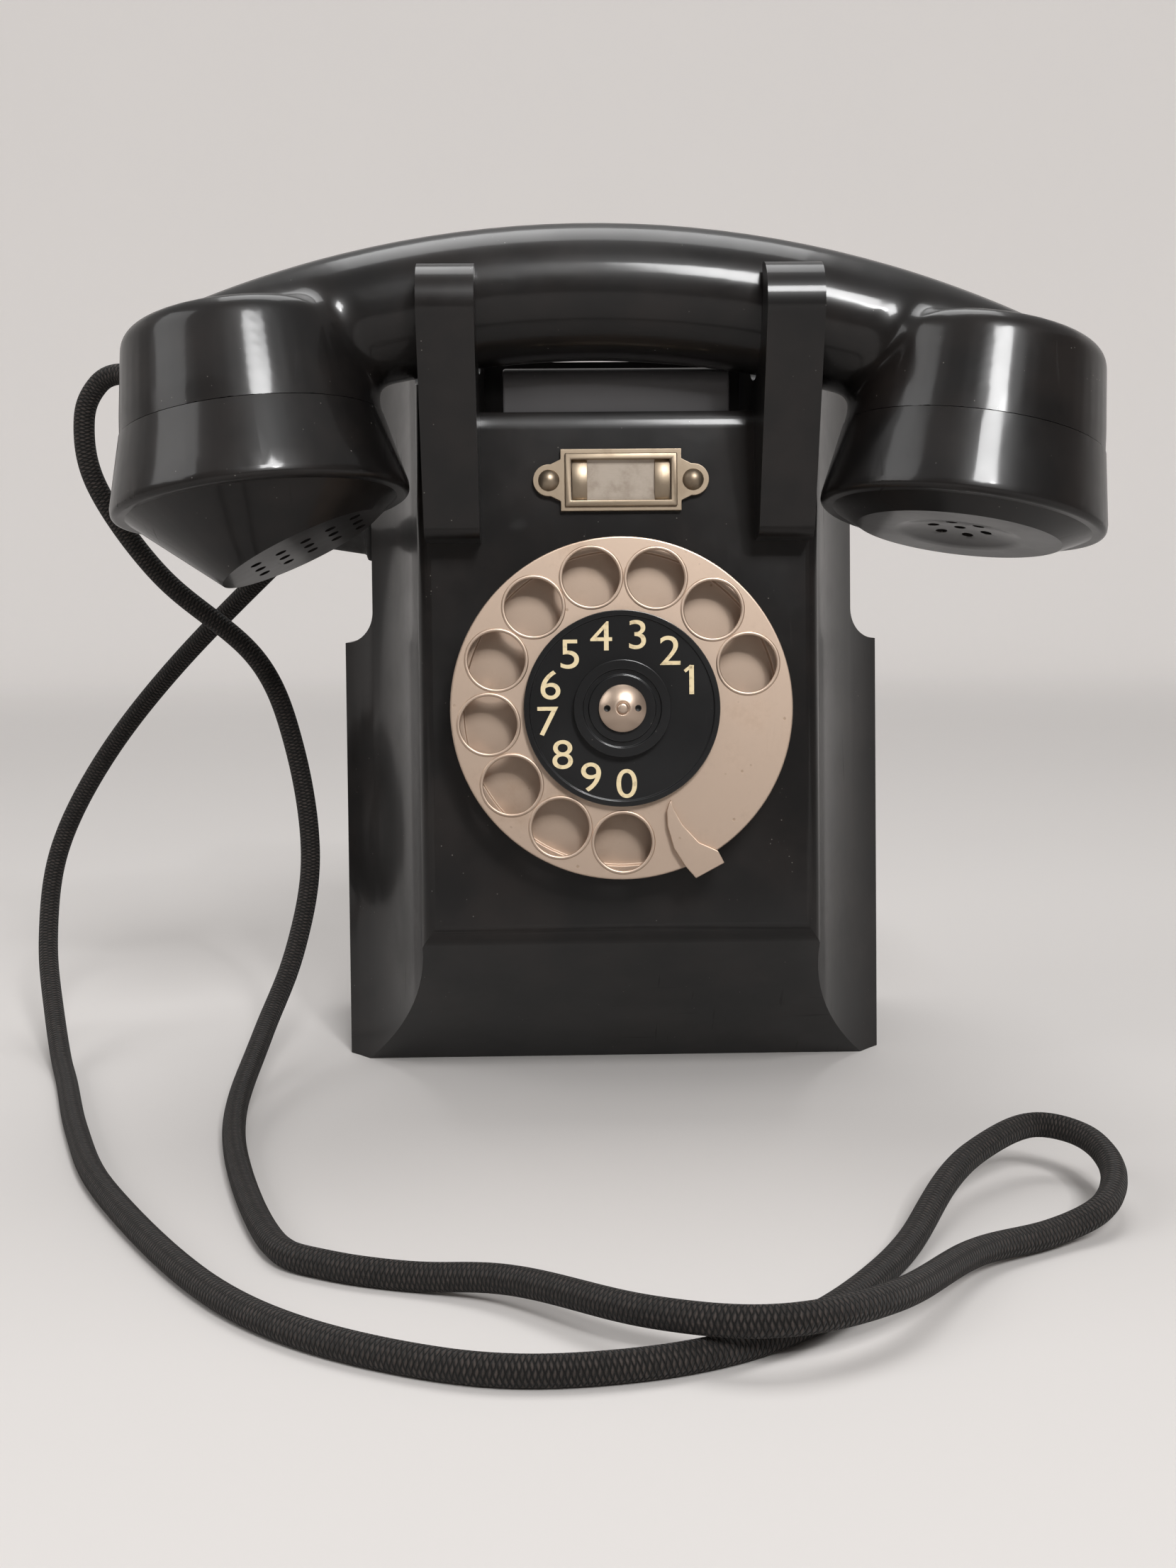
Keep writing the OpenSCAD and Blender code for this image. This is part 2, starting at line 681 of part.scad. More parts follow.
// Hook switch
module switch_bracket() {
    low = pivot_z - cheek_half;
    color([0.6, 0.6, 0.6])
        difference() {
            union() {
                block(-pin_l / 2, plate_q, low - hub_r / 2, [pin_l, plate_t, hub_r + 2 * cheek_half]);
                for (x = [-cheek_x - cheek_t, cheek_x])
                    block(x, plate_q + plate_t, low,
                        [cheek_t, pivot_q + cheek_half - plate_q - plate_t, 2 * cheek_half]);
            }
            translate([-pin_l, back_y - pivot_q, pivot_z]) rotate([0, 90, 0])
                cylinder(r = pin_r, h = 2 * pin_l);
        }
}
module switch_pin() {
    color([0.68, 0.68, 0.66])
        translate([-pin_l / 2, back_y - pivot_q, pivot_z]) rotate([0, 90, 0]) cylinder(r = pin_r, h = pin_l);
}
module switch_lever() {
    reach = base_d + bar_back - pivot_q;
    color([0.6, 0.6, 0.58])
        difference() {
            union() {
                translate([seat_gap - cheek_x, back_y - pivot_q, pivot_z]) rotate([0, 90, 0])
                    cylinder(r = hub_r, h = 2 * (cheek_x - seat_gap));
                block(0, pivot_q, pivot_z - arm_h / 2, [arm_w, reach, arm_h]);
            }
            translate([-pin_l, back_y - pivot_q, pivot_z]) rotate([0, 90, 0])
                cylinder(r = pin_r + fit, h = 2 * pin_l);
        }
}
module cradle_bar() {
    p = [[at_q(bar_back), bar_low], [at_q(bar_back), bar_z], [at_q(bar_front), bar_z],
        [at_q(bar_front), bar_low]];
    color([0.08, 0.075, 0.07]) across(bar_w) rounded(p, [1, 1.5, 4, 1]);
}
module switch_spring() {
    wire = 0.6;
    mid = hub_r + wire + seat_gap;
    row = [for (i = [0 : 48]) [-8 + 5 * i / 48, mid * cos(30 * i), mid * sin(30 * i)]];
    color([0.4, 0.41, 0.44])
        translate([0, back_y - pivot_q, pivot_z]) tube(row, wire, 8, [1, 0, 0]);
}
module switch_contacts() {
    color([0.42, 0.24, 0.12]) block(pile_x, plate_q, pivot_z - 1, pile);
    color([0.78, 0.7, 0.46])
        for (i = [0 : 2])
            block(pile_x + 1.5, plate_q + pile[1], pivot_z + 1 + blade_pitch * i,
                [pile[0] - 3, blade_l, blade_t]);
}

// Bells
module gong_posts() {
    tall = gong_q + 24.4 - plate_q;
    color([0.66, 0.64, 0.58])
        for (s = [-1, 1]) difference() {
            forward(s * gong_x, plate_q, gong_z, 4, tall);
            forward(s * gong_x, plate_q + tall - 10, gong_z, gong_screw, 20);
        }
}
module gong(s) {
    translate([s * gong_x, back_y - gong_q, gong_z]) rotate([90, 0, 0]) rotate_extrude() difference() {
        intersection() {
            circle(gong_r);
            translate([gong_screw + 0.2, gong_rim]) square([40, 40]);
        }
        circle(gong_r - gong_t);
    }
}
module gong_left() {
    color([0.74, 0.66, 0.42]) gong(-1);
}
module gong_right() {
    color([0.74, 0.66, 0.42]) gong(1);
}
module gong_screws() {
    top = gong_q + gong_r;
    color([0.62, 0.6, 0.55])
        for (s = [-1, 1]) {
            forward(s * gong_x, top, gong_z, 3.6, 2);
            forward(s * gong_x, top - gong_screw_l, gong_z, gong_screw, gong_screw_l);
        }
}
module bell_frame() {
    color([0.5, 0.5, 0.5])
        difference() {
            union() {
                block(-yoke_w / 2, plate_q, yoke_low, [yoke_w, yoke_back, yoke_z + yoke_t - yoke_low]);
                block(2 - yoke_w / 2, plate_q + yoke_back, yoke_z, [yoke_w - 4, yoke_reach, yoke_t]);
            }
            for (s = [-1, 1]) forward(s * hole_x, 0, hole_z, 8, plate_q + yoke_back);
        }
}
module bell_magnet() {
    color([0.34, 0.34, 0.36]) block(-magnet[0] / 2, plate_q, yoke_z + yoke_t, magnet);
}
module bell_coils() {
    color([0.45, 0.2, 0.1])
        for (s = [-1, 1]) translate([s * winding_x, back_y - ring_q, yoke_z - winding_l]) {
            cylinder(r = winding_r, h = winding_l);
            translate([0, 0, -core_l]) cylinder(r = core_r, h = core_l);
        }
}
module clapper_pin() {
    color([0.68, 0.68, 0.66]) forward(0, plate_q + yoke_back, ring_z, ring_pin, 16);
}
module clapper() {
    color([0.62, 0.58, 0.48])
        difference() {
            union() {
                block(-16, ring_q - 3, ring_z - 1.3, [32, 6, 2.6]);
                forward(0, ring_q - 3, ring_z, 3, 6);
                translate([0, back_y - ring_q, gong_z]) cylinder(r = 1, h = ring_z - gong_z - 2.5);
                translate([0, back_y - ring_q, gong_z]) sphere(r = 4.5);
            }
            forward(0, 0, ring_z, ring_pin + fit, 60);
        }
}

// Circuit pieces on the back plate
module capacitor() {
    color([0.62, 0.63, 0.62]) block(can_x, plate_q, can_z, can);
}
module induction_coil() {
    color([0.3, 0.2, 0.12]) {
        for (x = [0, coil_l + coil_cheek[0]])
            block(coil_x + x, plate_q, coil_z - coil_cheek[2] / 2, coil_cheek);
        translate([coil_x + coil_cheek[0], plate_y - coil_cheek[1] / 2, coil_z]) rotate([0, 90, 0])
            cylinder(r = coil_r, h = coil_l);
    }
}
module terminal_block() {
    color([0.16, 0.12, 0.1])
        difference() {
            block(term_x, plate_q, term_z - term[2] / 2, term);
            for (x = term_row) forward(x, plate_q + term[1] / 2, term_z, term_r, term[1]);
        }
}
module terminal_screws() {
    color([0.78, 0.7, 0.45])
        for (x = term_row) {
            forward(x, plate_q + term[1], term_z, 3, 2);
            forward(x, plate_q + term[1] / 2, term_z, term_r, term[1] / 2);
        }
}
module line_grommet() {
    color([0.12, 0.12, 0.12])
        difference() {
            union() {
                forward(grommet_at[0], back_y - plate_back - 1, grommet_at[1], grommet_r + grommet_lip, 1);
                forward(grommet_at[0], back_y - plate_back, grommet_at[1], grommet_r, plate_t);
                forward(grommet_at[0], plate_q, grommet_at[1], grommet_r + grommet_lip, 1);
            }
            forward(grommet_at[0], -5, grommet_at[1], line_bore_r, 20);
        }
}
module cord_gland() {
    color([0.1, 0.1, 0.1])
        translate([-upper_w / 2, gland_y, gland_z]) rotate([0, -90, 0]) {
            translate([0, 0, -wall]) cylinder(r = gland_plug_r, h = wall);
            cylinder(r = 7, h = flange_t);
            translate([0, 0, flange_t]) cylinder(r1 = 5.4, r2 = gland_r, h = boot_l);
        }
}

// Handset
module at_cup(s) {
    in_handset() translate([s * cup_x, 0, -seam_drop]) rotate([0, s * cup_lean, 0]) children();
}
module at_hs_gland() {
    at_cup(-1) rotate([0, 0, hs_gland_turn]) translate([hs_gland_out, 0, hs_gland_z])
        rotate([0, 90 - hs_gland_rise, 0]) children();
}
module cup_form() {
    rotate_extrude() rounded([[0, 0], [cup_r, 0], [cup_top_r, cup_h], [0, cup_h]], [0, 0, 5, 0]);
}
module handset_grip() {
    color([0.09, 0.08, 0.08])
        difference() {
            union() {
                in_handset() arch(grip_r);
                for (s = [-1, 1]) at_cup(s) cup_form();
            }
            for (s = [-1, 1]) {
                at_cup(s) translate([0, 0, -1]) cylinder(r = cup_bore, h = spigot_h + 1.4);
                at_cup(s) translate([0, 0, -1]) cylinder(r = capsule_r - 3, h = cup_deep + 1);
                at_cup(s) translate([0, 0, -40]) cylinder(r = 50, h = 40);
            }
            at_hs_gland() translate([0, 0, -2 * hs_gland_in])
                cylinder(r = gland_r, h = 2 * hs_gland_in + gland_l);
        }
}
module cap_skirt(r) {
    rotate_extrude() difference() {
        union() {
            rounded([[0, -cap_h], [r, -cap_h], [r, -cap_h + 2.5], [cup_r, 0], [0, 0]], [0, 1.4, 0, 0, 0]);
            translate([0, -1]) square([cup_bore - fit, spigot_h + 1]);
        }
        translate([-1, -cap_h + cap_t]) square([cup_bore - spigot_t + 1, 40]);
    }
}
module beak_cone(r, h) {
    translate([0, 0, -cap_h - h]) cylinder(r1 = r - h * beak_slope, r2 = r, h = h);
}
module beak_side() {
    translate([mouth_r - 1, 0, -cap_h - 1.5]) rotate([0, -beak_cut, 0]) children();
}
module beak_block(t) {
    translate([-4 * mouth_r, -2 * mouth_r, -2 * mouth_r]) cube([6 * mouth_r, 4 * mouth_r, 2 * mouth_r + t]);
}
module mouth_cap() {
    color([0.085, 0.08, 0.08])
        at_cup(-1) difference() {
            union() {
                cap_skirt(mouth_r);
                difference() {
                    beak_cone(beak_r, beak_h);
                    beak_side() beak_block(0);
                }
            }
            difference() {
                translate([0, 0, 1.5]) beak_cone(beak_r - cap_t, beak_h);
                beak_side() beak_block(cap_t);
            }
            translate([0, 0, -cap_h - 1]) cylinder(r = 12, h = cap_t + 2);
            beak_side() for (i = [0 : 4], j = [-1 : 1])
                translate([sound_pitch * (i - 6), sound_pitch * j, -1]) cylinder(r = sound_r, h = 12);
        }
}
module ear_cap() {
    dish = 60;
    color([0.085, 0.08, 0.08])
        at_cup(1) difference() {
            union() {
                cap_skirt(ear_r);
                translate([0, 0, -cap_h - 3]) cylinder(r1 = ear_r - 9, r2 = ear_r - 3, h = 3);
            }
            translate([0, 0, -cap_h - 1.2 - dish]) sphere(r = dish, $fn = 96);
            translate([0, 0, -30]) cylinder(r = sound_r, h = 20);
            for (a = [0 : 60 : 300]) rotate([0, 0, a]) translate([sound_pitch, 0, -30])
                cylinder(r = sound_r, h = 20);
        }
}
module capsule() {
    low = seat_gap + cap_t - cap_h;
    translate([0, 0, low]) cylinder(r = capsule_r, h = capsule_h);
    translate([0, 0, low + capsule_h]) cylinder(r = capsule_r - 6, h = 5);
}
module transmitter() {
    color([0.7, 0.7, 0.68]) at_cup(-1) capsule();
}
module receiver() {
    color([0.72, 0.7, 0.64]) at_cup(1) capsule();
}
module handset_gland() {
    color([0.1, 0.1, 0.1])
        at_hs_gland() translate([0, 0, -hs_gland_in]) cylinder(r = gland_r, h = hs_gland_in + gland_l);
}
module handset_cord() {
    color([0.13, 0.11, 0.1]) tube(concat([cord_from], cord_row, [cord_to]), cord_d / 2, 10, [0, 0, 1]);
}

case_shell();
base_plate();
case_screws();
card_frame();
card_paper();
card_rivets();
dial_dish();
finger_stop();
dial_frame();
dial_spring();
pulse_contacts();
dial_shaft();
main_gear();
finger_wheel();
number_disc();
dial_cap();
dial_nut();
governor();
switch_bracket();
switch_pin();
switch_contacts();
switch_lever();
cradle_bar();
switch_spring();
gong_posts();
gong_left();
gong_right();
gong_screws();
bell_frame();
bell_magnet();
bell_coils();
clapper_pin();
clapper();
capacitor();
induction_coil();
terminal_block();
terminal_screws();
line_grommet();
cord_gland();
handset_grip();
mouth_cap();
ear_cap();
transmitter();
receiver();
handset_gland();
handset_cord();
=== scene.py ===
"""Looks of a wall telephone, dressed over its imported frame: case, finger dial, handset and braided cord."""

import json
import math

import bmesh
import bpy
from bpy.props import FloatProperty, FloatVectorProperty, IntProperty, PointerProperty
from bpy.types import Operator, Panel, PropertyGroup
from mathutils import Euler, Matrix, Vector


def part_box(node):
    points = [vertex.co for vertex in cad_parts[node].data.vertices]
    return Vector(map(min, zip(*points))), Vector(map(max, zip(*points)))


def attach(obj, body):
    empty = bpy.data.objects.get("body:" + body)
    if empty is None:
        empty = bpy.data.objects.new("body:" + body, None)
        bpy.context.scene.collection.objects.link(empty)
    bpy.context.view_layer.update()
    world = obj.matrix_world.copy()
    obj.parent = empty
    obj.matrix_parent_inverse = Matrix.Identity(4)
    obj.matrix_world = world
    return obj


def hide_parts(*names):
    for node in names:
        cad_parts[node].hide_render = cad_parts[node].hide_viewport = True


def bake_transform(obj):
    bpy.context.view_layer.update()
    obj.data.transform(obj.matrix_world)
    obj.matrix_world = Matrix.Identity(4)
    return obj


bl_info = {
    "name": "Wall telephone",
    "version": (1, 0, 0),
    "blender": (4, 5, 0),
    "location": "3D View > Sidebar > Telephone",
    "description": "Dresses the packed frame of a wall telephone with its finishes, dial, handset and cord",
    "category": "Object",
}

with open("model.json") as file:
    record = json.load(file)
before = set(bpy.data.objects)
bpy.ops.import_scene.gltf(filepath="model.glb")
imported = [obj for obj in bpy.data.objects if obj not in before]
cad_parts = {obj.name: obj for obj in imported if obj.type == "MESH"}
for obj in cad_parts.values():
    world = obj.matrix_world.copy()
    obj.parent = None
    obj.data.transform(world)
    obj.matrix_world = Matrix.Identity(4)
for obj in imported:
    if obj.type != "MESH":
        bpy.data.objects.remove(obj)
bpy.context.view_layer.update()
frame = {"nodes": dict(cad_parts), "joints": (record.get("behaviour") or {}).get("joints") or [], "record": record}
BODY_OF = {node: body for body, nodes in frame["record"]["behaviour"]["bodies"].items() for node in nodes}
SLOT_OF = {part["node"]: part["material_slot"] for part in frame["record"]["subparts"]}
JOINT = {joint["name"]: joint for joint in frame["joints"]}
MM = 0.001

# What counts as the same point and as flat when a CAD node is merged, and as facing an axis
SAME_POINT = 0.002 * MM
FLAT = math.radians(0.2)
FACING = 0.9

# Places that come from the frame: the dial's own axes, with z out of the face, and the card's middle
DIAL_OUT = -Vector(JOINT["dial_turn"]["axis"]).normalized()
DIAL_RIGHT = Vector((1, 0, 0))
DIAL_UP = DIAL_OUT.cross(DIAL_RIGHT)
FACE_TURN = Matrix((DIAL_RIGHT, DIAL_UP, DIAL_OUT)).transposed().to_4x4()
DIAL = Matrix.Translation(JOINT["dial_turn"]["pos_m"]) @ FACE_TURN
CARD_LOW, CARD_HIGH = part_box("card_paper")
CARD = Matrix.Translation((CARD_LOW + CARD_HIGH) / 2) @ FACE_TURN

# Dial layout, as in the part's source
WHEEL_TOP = 11 * MM
DISC_TOP = 12.4 * MM
NUT_TOP = 17.3 * MM
NUT_HOLES = 3.4 * MM
HOLE_RING = 29.7 * MM
HOLE_R = 6.35 * MM
FIRST_HOLE = 19.0
HOLE_PITCH = 27.9
DIGITS = "1234567890"

# Details of the dial: the well and the shaft's tip in the nut, the rims of the holes and the numbers,
# which stand a few degrees past their holes and are broader than the font's
WELL_R, WELL_H, WELL_AT = 1.6 * MM, 2 * MM, NUT_TOP + 0.5 * MM
TIP_R, TIP_H, TIP_AT, TIP_ROUND = 1.25 * MM, 1.6 * MM, NUT_TOP - 0.4 * MM, 0.6 * MM
ROUND = 48
RIM_OUT = 0.9
RIM_FLATNESS = 0.6
NUMBER_TURN = 2.9
NUMBER_BREADTH = 1.13
NUMBER_LIFT = 0.06 * MM
NUMBER_RELIEF = 0.004
# The flag of the one, in shares of its height
FLAG_AT, FLAG_SIZE, FLAG_TURN = (-0.12, 0.38), (0.3, 0.11), math.radians(38)

# Card holder: the raised lip round its window, and the bowed straps over the ends of the card
LIP_SIZE, LIP_AT, LIP_BORDER, LIP_EDGE = (25.4 * MM, 12 * MM, 0.7 * MM), 1.45 * MM, 1.45 * MM, 0.3 * MM
STRAP_BOW, STRAP_TOP, STRAP_FOOT = 10.2 * MM, 1.35 * MM, 0.2 * MM
STRAP_BREADTH, STRAP_OUT, STRAP_EDGE = 3.4 * MM, 9.35 * MM, 0.2 * MM
PAPER_EDGE = 0.05 * MM

# The handset's own axes and those of its two cups, with z up from the seam, as in the part's source
HANDSET_AT = (0, -70.96 * MM, 185.2 * MM)
HANDSET_TILT, HANDSET_ROLL = math.radians(1.5), math.radians(-8)
CUP_OUT, CUP_DROP, CUP_LEAN = 80.6 * MM, 32.5 * MM, math.radians(8)
HANDSET = (
    Matrix.Translation(HANDSET_AT)
    @ Matrix.Rotation(HANDSET_TILT, 4, "Y")
    @ Matrix.Rotation(HANDSET_ROLL, 4, "X")
)
CUPS = [
    HANDSET @ Matrix.Translation((side * CUP_OUT, 0, -CUP_DROP)) @ Matrix.Rotation(side * CUP_LEAN, 4, "Y")
    for side in (-1, 1)
]

# How far a cup reaches from its axis, and up from its seam
CUP_REACH, CUP_FOOT = 36 * MM, 5 * MM
# How near the seam a rim lies, how far it is drawn down, and where it is cut off above its cap
RIM_NEAR, RIM_DRAW, SEAM_GAP = 0.05 * MM, 2 * MM, 0.2 * MM
# How deep a dent makes a hollow corner
HOLLOW = 0.03 * MM
# The bend from which an edge of the caps is eased
CAP_ANGLE = 22

# Screws of the back plate: how far a head's middle lies in from its edge, and the size of its slot
SCREW_IN = 4 * MM
SLOT_SIZE = (12 * MM, 1.4 * MM, 1.1 * MM)

# Route of the cord from the handset's left cup over the table to the case, as in the part's source
CORD_EASE = 12
CORD_CLEAR = 0.1 * MM
CORD_FROM, CORD_TO = (-0.10875, -0.04839, 0.16638), (-0.0725, -0.015, 0.134)
CORD_ROUTE = [
    (-0.11269, -0.04446, 0.16861), (-0.1175, -0.0422, 0.1715),
    (-0.1235, -0.041, 0.1695), (-0.1275, -0.0408, 0.161),
    (-0.1255, -0.039, 0.145), (-0.112, -0.0315, 0.123), (-0.0905, -0.023, 0.1025), (-0.082, -0.019, 0.079),
    (-0.0785, -0.02, 0.0505), (-0.0815, -0.033, 0.028), (-0.0865, -0.057, 0.012), (-0.0855, -0.103, 0.0032),
    (-0.0685, -0.166, 0.0), (-0.0545, -0.182, 0.0), (-0.026, -0.1935, 0.0045), (-0.002, -0.216, 0.0075),
    (0.018, -0.223, 0.0085), (0.038, -0.2115, 0.0075), (0.0565, -0.1845, 0.004), (0.073, -0.173, 0.003),
    (0.085, -0.165, 0.005), (0.091, -0.1515, 0.0075), (0.0895, -0.1385, 0.01), (0.0805, -0.133, 0.011),
    (0.069, -0.141, 0.0095), (0.058, -0.1545, 0.0065), (0.04, -0.1885, 0.0), (0.021, -0.2125, 0.0),
    (-0.0045, -0.2245, 0.0), (-0.0335, -0.223, 0.0), (-0.069, -0.1985, 0.0), (-0.103, -0.1425, 0.0),
    (-0.12, -0.1, 0.0), (-0.134, -0.056, 0.0), (-0.1445, -0.026, 0.0105), (-0.1515, -0.0045, 0.027),
    (-0.1505, 0.0065, 0.05), (-0.137, 0.0075, 0.0755), (-0.1135, 0.0005, 0.1025), (-0.0785, -0.015, 0.134),
]

# The photograph's viewpoint
CAMERA_AT = (-0.0155, -0.485, 0.1182)
CAMERA_YAW, CAMERA_PITCH, CAMERA_ROLL = 1.13, 6.04, -0.52
CAMERA_LENS, CAMERA_SENSOR = 41.4, 36

# The stage: lamps with their place, size and power, what they face, and the floor with its backdrop
LAMPS = {
    "key": ((0.3, -1.3, 1.05), 0.4, 13.5),
    "spark": ((0.4, -1.35, 0.88), 0.06, 2.4),
    "fill_left": ((-1.2, -0.5, 0.9), 0.8, 4.0),
    "top": ((0.0, 0.3, 1.5), 0.9, 8.0),
}
LAMPS_FACE = Vector((0, -0.04, 0.11))
SKY_COLOUR, SKY_STRENGTH = (0.96, 0.95, 0.94, 1), 0.3
FLOOR_R, BACKDROP_CURVE, BACKDROP_H, BACKDROP_STEPS = 2.2, 0.8, 1.2, 10
# How strongly the floor and backdrop glow, though they are no lamp
BACKDROP_GLOW = 0.5


def colour(name, default, description):
    """A colour that a user can change."""
    return FloatVectorProperty(
        name=name, description=description, subtype="COLOR", size=3, min=0, max=1, default=default
    )


def length(name, default, description):
    """A size in metres that a user can change."""
    return FloatProperty(
        name=name, description=description, default=default, min=0, unit="LENGTH", precision=5
    )


def count(name, default, description, low, high):
    """A whole number that a user can change."""
    return IntProperty(name=name, description=description, default=default, min=low, max=high)


class TelephoneSizes(PropertyGroup):
    """Sizes of the details that the frame leaves plain."""

    moulding_edge: length("Moulding edges", 0.7 * MM, "How far the sharp edges of the mouldings are eased")
    metal_edge: length("Metal edges", 0.25 * MM, "How far the edges of the sheet metal are eased")
    grip_voxel: length("Grip mesh", 0.7 * MM, "Mesh size of the handset's grip")
    fillet_steps: count("Grip fillet", 120, "How far the handle flows into its cups", 0, 400)
    rim_r: length("Hole rims", 0.42 * MM, "Thickness of the raised rim round each finger hole")
    digit_h: length("Digit height", 6.4 * MM, "Height of the numbers on the dial")
    digit_ring: length("Digit ring", 16.6 * MM, "Radius of the circle of numbers")
    cord_d: length("Cord diameter", 5 * MM, "Diameter of the braided cord")
    cord_sides: count("Cord sides", 20, "Sides of the cord's tube", 8, 48)
    cord_steps: count("Cord steps", 20, "Rings between two route points", 4, 60)


class TelephoneColours(PropertyGroup):
    """Colours of the finishes."""

    bakelite: colour("Bakelite", (0.0065, 0.0058, 0.0057), "Black phenolic moulding")
    bakelite_worn: colour("Worn bakelite", (0.014, 0.0112, 0.0102), "Brown cast of the rubbed moulding")
    # Painted light: the cradle bar's moulding is lighter than the case's, standing in for light that the handset
    # keeps off it
    ebonite: colour("Ebonite", (0.075, 0.072, 0.074), "Grey-black moulding of the cradle bar")
    # The nickel is set lighter than the metal's own, to make up for the floor being painted dark in mirror
    # reflections
    nickel: colour("Nickel", (0.74, 0.575, 0.455), "Satin nickel of the dial")
    nickel_stain: colour("Stained nickel", (0.43, 0.31, 0.225), "Nickel where it has gone brown")
    card_metal: colour("Card holder", (0.42, 0.335, 0.245), "Pressed sheet of the card holder")
    card_metal_dark: colour("Card holder grime", (0.16, 0.11, 0.07), "Grime in the holder's corners")
    paper: colour("Card", (0.47, 0.405, 0.34), "Paper of the card")
    paper_stain: colour("Card stain", (0.27, 0.215, 0.165), "Age stains on the card")
    enamel: colour("Enamel", (0.008, 0.008, 0.0085), "Black enamel of the number disc")
    digit: colour("Digits", (0.82, 0.68, 0.42), "Cream paint of the numbers")
    braid: colour("Braid", (0.0075, 0.0068, 0.006), "Dark yarn of the cord")
    braid_fleck: colour("Braid fleck", (0.052, 0.041, 0.036), "Pale yarn of the cord")
    # Pale yarn, also painted on every yarn's crown as a highlight
    rubber: colour("Rubber", (0.014, 0.013, 0.013), "Rubber of the sleeves and the grommet")
    floor: colour("Floor", (0.74, 0.71, 0.69), "Pale floor and backdrop")


# Selecting and finishing


def deselect():
    """Nothing stays selected or in edit mode."""
    if bpy.context.object and bpy.context.object.mode != "OBJECT":
        bpy.ops.object.mode_set(mode="OBJECT")
    bpy.ops.object.select_all(action="DESELECT")


def take(piece):
    """Makes a piece the only one selected, and the active one."""
    deselect()
    piece.select_set(True)
    bpy.context.view_layer.objects.active = piece
    return piece


def added(name):
    """Names what an add operator has just made."""
    piece = bpy.context.object
    piece.name = piece.data.name = name
    return piece


def modify(piece, kind, **settings):
    """Adds a modifier and applies it."""
    take(piece)
    modifier = piece.modifiers.new(kind.title(), kind)
    for key, value in settings.items():
        setattr(modifier, key, value)
    bpy.ops.object.modifier_apply(modifier=modifier.name)


def smooth(piece, angle=35):
    """Smooth shading, with edges sharper than the angle kept."""
    take(piece)
    bpy.ops.object.shade_smooth_by_angle(angle=math.radians(angle))


def settle(piece, place):
    """Puts a piece that was modelled at the origin where it belongs, in its mesh."""
    take(piece)
    bpy.ops.object.transform_apply(location=True, rotation=True, scale=True)
    piece.data.transform(place)
    return piece


def dress(piece, finish, body, *nodes):
    """Gives a piece its finish and the body it rides on, and lets it stand for the named CAD nodes."""
    piece.data.materials.clear()
    piece.data.materials.append(finish)
    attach(piece, body)
    if nodes:
        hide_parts(*nodes)
        SLOT_OF[nodes[0]]
    return piece


def carved(node, name):
    """A merged copy of a CAD node, whose flat faces are whole again."""
    deselect()
    piece = bpy.data.objects.new(name, frame["nodes"][node].data.copy())
    bpy.context.scene.collection.objects.link(piece)
    take(piece)
    if piece.data.has_custom_normals:
        bpy.ops.mesh.customdata_custom_splitnormals_clear()
    bpy.ops.object.mode_set(mode="EDIT")
    bpy.ops.mesh.select_all(action="SELECT")
    bpy.ops.mesh.remove_doubles(threshold=SAME_POINT)
    bpy.ops.mesh.dissolve_limited(angle_limit=FLAT)
    bpy.ops.object.mode_set(mode="OBJECT")
    return piece


def eased(node, name, edge, finish, segments=2, angle=32):
    """A CAD node with its sharp edges eased, standing for the node."""
    piece = carved(node, name)
    modify(
        piece, "BEVEL", width=edge, segments=segments, limit_method="ANGLE",
        angle_limit=math.radians(angle), miter_outer="MITER_ARC",
    )
    smooth(piece)
    modify(piece, "WEIGHTED_NORMAL", keep_sharp=True)
    return dress(piece, finish, BODY_OF[node], node)


def pick_faces(piece, wanted):
    """Opens a piece in edit mode with only the wanted faces selected."""
    take(piece)
    bpy.ops.object.mode_set(mode="EDIT")
    bpy.ops.mesh.select_mode(type="FACE")
    bpy.ops.mesh.select_all(action="DESELECT")
    shape = bmesh.from_edit_mesh(piece.data)
    for face in shape.faces:
        face.select_set(wanted(face))
    bmesh.update_edit_mesh(piece.data)


# Finishes


